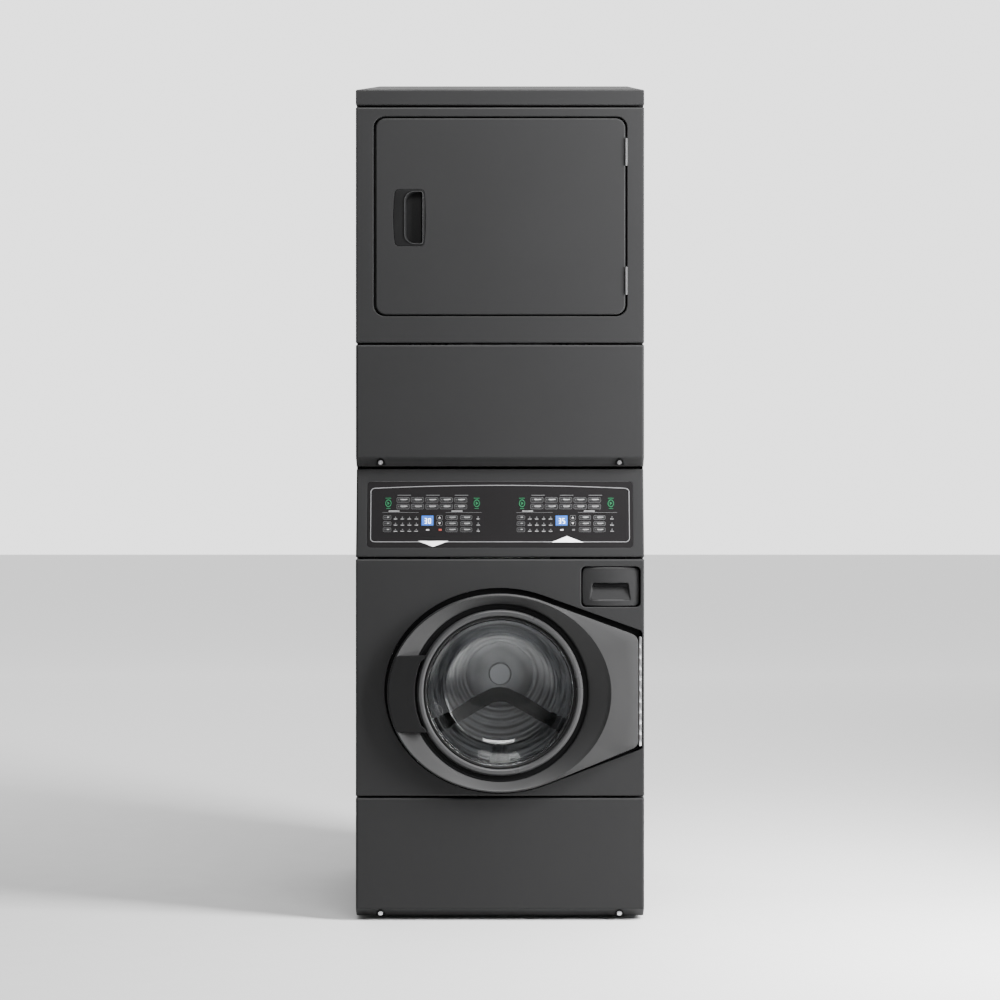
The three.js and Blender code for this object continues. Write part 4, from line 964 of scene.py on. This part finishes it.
# ---------------------------------------------------------------- control panel
CTRL_Z = 861.0
LEAN = math.atan2(27, 210)


def lean(x, y, z):
    """Tips a point of an upright panel back onto the control panel's slope."""
    dy, dz = y - YF, z - CTRL_Z
    c, s = math.cos(LEAN), math.sin(LEAN)
    return (x, YF + dy * c + dz * s, CTRL_Z - dy * s + dz * c)


def leaned(pts):
    return [lean(*p) for p in pts]


TOP, BACK = 1071.0, YF + 45


def overlay_loop(d, lift):
    """The overlay's outline on the slope, grown by d."""
    pts = rrect(-314.5 - d, 314.5 + d, 884 - d, 1042 + d, 8 + d, 8)
    return leaned(at_y(pts, YF + lift))


def shell_ring(d, lift):
    """The control panel's front outline on the slope, inset by d."""
    pts = rrect(-HALF + d, HALF - d, CTRL_Z + 0.3 + d, 1072.6 - d, 2.5, 8)
    return leaned(at_y(pts, YF + lift))


m = Mesh()
outer = [[(x, BACK, max(CTRL_Z, min(TOP, z))) for x, _, z in shell_ring(0, 6)],
         [(x, min(y, BACK), z) for x, y, z in shell_ring(0, 5)]]
for k in range(1, 7):
    a = math.pi / 2 * k / 6
    outer.append(shell_ring(4.5 * (1 - math.cos(a)), 5 - 4.9 * math.sin(a)))
outer = m.strips(outer)
inner = m.strips([overlay_loop(2.4, 0.1), overlay_loop(0.6, 0.5), overlay_loop(0.3, 1.5),
                  overlay_loop(-3, 1.5)])
m.fill(outer[-1], inner[0])
even_normals(make("control_housing_shown", m.v, m.f, "panel_paint", "cabinet", ["control_housing"], 45))
m = Mesh()
glassy = m.strips([overlay_loop(0, 1.4), overlay_loop(0, 0.5), overlay_loop(-0.7, 0.1)])
m.cap(glassy[-1])
m.cap(glassy[0])
even_normals(make("control_overlay_shown", m.v, m.f, "overlay_gloss", "cabinet", ["control_overlay"], 30))

INK = {}


def ink(kind):
    return INK.setdefault(kind, Mesh())


PROUD = YF - 0.05


def patch(kind, pts, y=PROUD, thick=0.3):
    """A thin printed patch on the overlay."""
    me = ink(kind)
    a = me.ring(leaned(at_y(pts, y)))
    b = me.ring(leaned(at_y(pts, y - thick)))
    me.bridge(a, b)
    me.cap(b)


def tile(kind, x0, x1, z0, z1, r, y=PROUD, thick=0.25):
    """A rounded rectangular patch."""
    r = min(r, (x1 - x0) * 0.49, (z1 - z0) * 0.49)
    patch(kind, rrect(x0, x1, z0, z1, r, 3), y, thick)


def outline(kind, x0, x1, z0, z1, r, w):
    """A printed line of width w round a rounded rectangle."""
    outside = rrect(x0, x1, z0, z1, r, 5)
    inside = rrect(x0 + w, x1 - w, z0 + w, z1 - w, max(0.2, r - w), 5)
    loops = [at_y(outside, PROUD), at_y(outside, PROUD - 0.25), at_y(inside, PROUD - 0.25),
             at_y(inside, PROUD)]
    ink(kind).strips([leaned(p) for p in loops])


def arched(d, n=40):
    """The silver line round the panel: a flat foot and a gently arched head."""
    x0, x1, z0, z1, r = -306.5 - d, 306.5 + d, 897.5 - d, 1025 + d, 9 + d
    out = []
    for x, z in subdivided(rrect(x0, x1, z0, z1, r, 8), 200, n):
        rise = 7.5 * (1 - (x / 306.5) ** 2) if z > 960 else 0
        out.append((x, z + max(0, rise)))
    return out


me = ink("silver")
me.strips([leaned(at_y(arched(0.9), YF)), leaned(at_y(arched(0.8), YF - 0.45)),
           leaned(at_y(arched(-0.8), YF - 0.45)), leaned(at_y(arched(-0.9), YF))])
patch("bright", [(-194, 899.5), (-158.6, 885.6), (-122, 899.5)], thick=0.6)
patch("bright", [(122, 896.5), (197, 896.5), (158.6, 911)], thick=0.6)


def power_mark(x, z):
    """A round start mark printed in green, with a small word bar over it; its material gives it a faint
    painted glow.
    """
    turns = [2 * math.pi * k / 20 for k in range(20)]
    loops = []
    for r, y in ((7.4, PROUD), (7.4, PROUD - 0.3), (5.6, PROUD - 0.3), (5.6, PROUD)):
        loops.append(leaned([(x + r * math.cos(a), y, z + 1.25 * r * math.sin(a)) for a in turns]))
    ink("green").strips(loops)
    patch("green", [(x - 2.2, z - 4.2), (x + 3.6, z), (x - 2.2, z + 4.2)])
    tile("green", x - 7, x + 7, z + 11.5, z + 13, 0.4)
    tile("green", x - 5, x + 5, z - 13.2, z - 11.8, 0.4)


def key(x, z, w, h):
    """One rounded key: an outline, a status light and a printed word."""
    outline("grey", x, x + w, z, z + h, 3.4, 0.8)
    tile("dim", x + 1.4, x + w - 1.4, z + 1.4, z + h - 1.4, 2.4, thick=0.12)
    tile("white", x + 9, x + w - 5, z + h * 0.52, z + h * 0.66, 0.4)
    tile("grey", x + 11, x + w - 9, z + h * 0.28, z + h * 0.38, 0.3)
    tile("grey", x + 3.6, x + 5.8, z + h * 0.42, z + h * 0.62, 0.9)


SEG = {"0": "abcdef", "3": "abcdg", "5": "acdfg"}


def digits(text, x, z, w=6.2, h=12.6, gap=3.0, t=1.5):
    for ch in text:
        zc, z1 = z + h / 2, z + h
        flat, left, right = (x + t * 0.6, x + w - t * 0.6), (x, x + t), (x + w - t, x + w)
        upper, lower = (zc + 0.4, z1 - 0.4), (z + 0.4, zc - 0.4)
        bars = {"a": (*flat, z1 - t, z1), "g": (*flat, zc - t / 2, zc + t / 2), "d": (*flat, z, z + t),
                "f": (*left, *upper), "b": (*right, *upper), "e": (*left, *lower), "c": (*right, *lower)}
        for s in SEG[ch]:
            tile("digit", *bars[s], 0.5, y=YF - 0.5, thick=0.3)
        x += w + gap


def keypad(side):
    """One machine's half of the panel; side is -1 for the lower machine, +1 for the upper."""
    if side < 0:
        marks, first, left_line, right_line = (-265.0, -55.2), -245.3, (-278.5, -193.0), (-128.9, -43.4)
        column, lights, window, arrows, pairs, last = -277.3, -247.7, -187.5, -150.3, (-128.9, -94.4), -51.7
        number = "30"
    else:
        marks, first, left_line, right_line = (52.4, 263.1), 72.3, (38.6, 125.3), (184.7, 277.4)
        column, lights, window, arrows, pairs, last = 39.8, 70.7, 130.5, 165.7, (187.0, 221.5), 265.5
        number = "35"
    for x in marks:
        power_mark(x, 989.5)
    for k in range(5):
        for z in (991.6, 975.6):
            key(first + 34.15 * k, z, 30.5, 12.2)
    for x0, x1 in (left_line, right_line):
        tile("grey", x0, x1, 967.2, 968.0, 0.2)
        tile("white", x0 + 14, x0 + 40, 970.2, 971.8, 0.4)
    for k in range(3):
        tile("grey", first + 2 + 68 * k, first + 34 + 68 * k, 1008.0, 1009.6, 0.4)
    for row in range(3):
        z = 950.2 - 14.6 * row
        key(column, z, 19.5, 10.6)
        for k in range(4):
            x = lights + 16.5 * k
            tile("grey", x - 1.4, x + 1.4, z + 4.6, z + 7.4, 1.4)
            tile("white", x - 4.4, x + 4.0, z + 1.2, z + 2.4, 0.3)
        for x in pairs:
            key(x, z, 28.5, 10.6)
        tile("grey", last - 1.6, last + 1.6, z + 5.0, z + 8.0, 1.5)
        tile("white", last - 4.0, last + 4.0, z + 1.4, z + 2.6, 0.3)
    for z, up in ((949.5, 1), (936.0, -1)):
        outline("grey", arrows, arrows + 14, z, z + 11.5, 3, 0.8)
        xm, zm = arrows + 7, z + 5.75
        patch("white", [(xm - 3.4, zm - 2 * up), (xm + 3.4, zm - 2 * up), (xm, zm + 3 * up)][::up])
    tile("white", window + 12, window + 20, 924.4, 927.8, 0.6)
    # the washer's red mark is print, with a faint painted glow from its material
    tile("red" if side < 0 else "grey", arrows + 5, arrows + 12, 924.0, 928.4, 0.8)
    outline("dim", window + 0.3, window + 30.7, 935.3, 961.2, 1.6, 1.2)
    digits(number, window + 8.2, 941.0)
    name = "washer_display" if side < 0 else "dryer_display"
    glass_shape = rrect(window + 1.5, window + 29.5, 936.5, 960, 1.2, 4)
    me = Mesh()
    a, b = me.strips([leaned(at_y(glass_shape, YF + 0.2)), leaned(at_y(glass_shape, YF - 0.4))])
    me.cap(b)
    me.cap(a)
    make(name + "_shown", me.v, me.f, "display_window", "cabinet", [name], 30)


keypad(-1)
keypad(1)
PRINTS = {"silver": "line_silver", "bright": "ink_bright", "white": "ink_white", "grey": "ink_grey",
          "dim": "ink_dim", "green": "green_print_painted_glow", "red": "red_print_painted_glow", "digit": "digit_light"}
for kind, material in PRINTS.items():
    make("panel_print_" + kind, INK[kind].v, INK[kind].f, "overlay_gloss", "cabinet", sharp=30,
         material=M[material])

# ---------------------------------------------------------------- the rest of the CAD
for base_z, who in ((WASHER_KICK[0], "washer"), (DRYER_KICK[0], "dryer")):
    for side, cx in (("left", -SCREW_X), ("right", SCREW_X)):
        node = f"{who}_screw_{side}"
        zc = base_z + SCREW_UP
        y = YF + 8
        prof = [(0, y - 0.4), (2.2, y - 0.4), (2.6, y - 1.4), (4.8, y - 1.0), (5.9, y + 0.4), (6, y + 5),
                (2.6, y + 5), (2.6, YF + 53), (0, YF + 53)]
        lathe(node + "_shown", prof, zc, "bare_steel", "cabinet", [node], 40, cx=cx, closed=False)
        # a near-black patch on the panel's slope round the screw: painted shade for the screw's recess
        patch_shape = ((-12, -6.5), (12, -6.5), (8.5, 5), (2.5, 10.2), (-2.5, 10.2), (-8.5, 5))
        m = Mesh()
        m.cap(m.ring([(cx + px, YF + 23.75 - 24 * (SCREW_UP + pz) / 21, zc + pz)
                      for px, pz in patch_shape]))
        make(f"{who}_screw_dimple_{side}", m.v, m.f, "panel_paint", "cabinet", sharp=30,
             material=M["painted_shade_black"])

# the pieces that show their CAD mesh as it is, and the hidden ones
for n, o in NODES.items():
    slot = SLOT[n]
    material = M.get(slot, M["galvanised_sheet"])
    if n in ("washer_cabinet", "dryer_cabinet"):
        material = M["side_paint"]
    if n == "outer_tub":
        material = M["tub_plastic"]
    o.data.materials.clear()
    o.data.materials.append(material)
    for p in o.data.polygons:
        p.use_smooth = True
    o.data.set_sharp_from_angle(angle=math.radians(32))

# ---------------------------------------------------------------- stage


def area(name, loc, target, size, power, size_y=None, glossy=True):
    light = bpy.data.lights.new(name, "AREA")
    light.energy = power
    light.size = size
    if size_y:
        light.shape = "RECTANGLE"
        light.size_y = size_y
    obj = bpy.data.objects.new(name, light)
    bpy.context.scene.collection.objects.link(obj)
    obj.location = loc
    obj.rotation_euler = (Vector(target) - Vector(loc)).to_track_quat("-Z", "Y").to_euler()
    obj.visible_camera = False
    obj.visible_glossy = glossy
    return obj


mesh = bpy.data.meshes.new("floor")
mesh.from_pydata([(-30, -30, 0), (30, -30, 0), (30, 30, 0), (-30, 30, 0)], [], [(0, 1, 2, 3)])
floor = bpy.data.objects.new("floor", mesh)
bpy.context.scene.collection.objects.link(floor)
# the floor's colour is a painted fade: dark grey (0.32) at and in front of the machine, growing pale (0.93)
# some six metres behind it, so the far floor fades into the bright backdrop as painted light
pale = grained("floor_painted_fade", (0.32, 0.32, 0.32), 0.75, grain=30, strength=0.02, tone=0.01)
ft = pale.node_tree
across = ft.nodes.new("ShaderNodeSeparateXYZ")
ft.links.new(coords(ft), across.inputs[0])
away = math_node(ft, "MULTIPLY", across.outputs["Y"], 0.125)
painted_floor_fade = ramp(ft, away, (0.32,) * 3, (0.93,) * 3, 0.0, 0.75)
ft.links.new(painted_floor_fade, ft.nodes["Principled BSDF"].inputs["Base Color"])
mesh.materials.append(pale)

world = bpy.data.worlds.new("studio")
bpy.context.scene.world = world
world.use_nodes = True
wt = world.node_tree
way = wt.nodes.new("ShaderNodeSeparateXYZ")
wt.links.new(wt.nodes.new("ShaderNodeTexCoord").outputs["Generated"], way.inputs[0])
to_right = math_node(wt, "MULTIPLY_ADD", way.outputs["X"], 0.5, 0.5)
to_back = math_node(wt, "MULTIPLY_ADD", way.outputs["Y"], 0.5, 0.5)
side = ramp(wt, to_right, (0.08,) * 3, (0.42,) * 3, 0.15, 0.9)
depth = ramp(wt, to_back, (0,) * 3, (1,) * 3, 0.4, 0.9)
blend = wt.nodes.new("ShaderNodeMix")
blend.data_type = "RGBA"
wt.links.new(depth, blend.inputs[0])
wt.links.new(side, blend.inputs[6])
blend.inputs[7].default_value = (1, 1, 1, 1)
wt.links.new(blend.outputs[2], wt.nodes["Background"].inputs["Color"])
wt.nodes["Background"].inputs["Strength"].default_value = 2.4

area("key_right", (1.75, -0.93, 1.62), (0.0, -0.33, 1.2), 0.6, 640, size_y=1.9, glossy=False)
area("top_front", (0.1, -2.3, 4.3), (0, 0, 0.9), 2.6, 230, size_y=1.1)
area("back_left", (-4.0, 2.5, 3.0), (0, 0, 1.0), 2.0, 60)

cam_data = bpy.data.cameras.new("camera")
cam = bpy.data.objects.new("camera", cam_data)
bpy.context.scene.collection.objects.link(cam)
cam_data.lens = 68.8
cam_data.sensor_width = 36
cam.location = (0, YF / 1000 - 4.52, 0.9963)
cam.rotation_euler = (math.radians(90), 0, 0)
bpy.context.scene.camera = cam
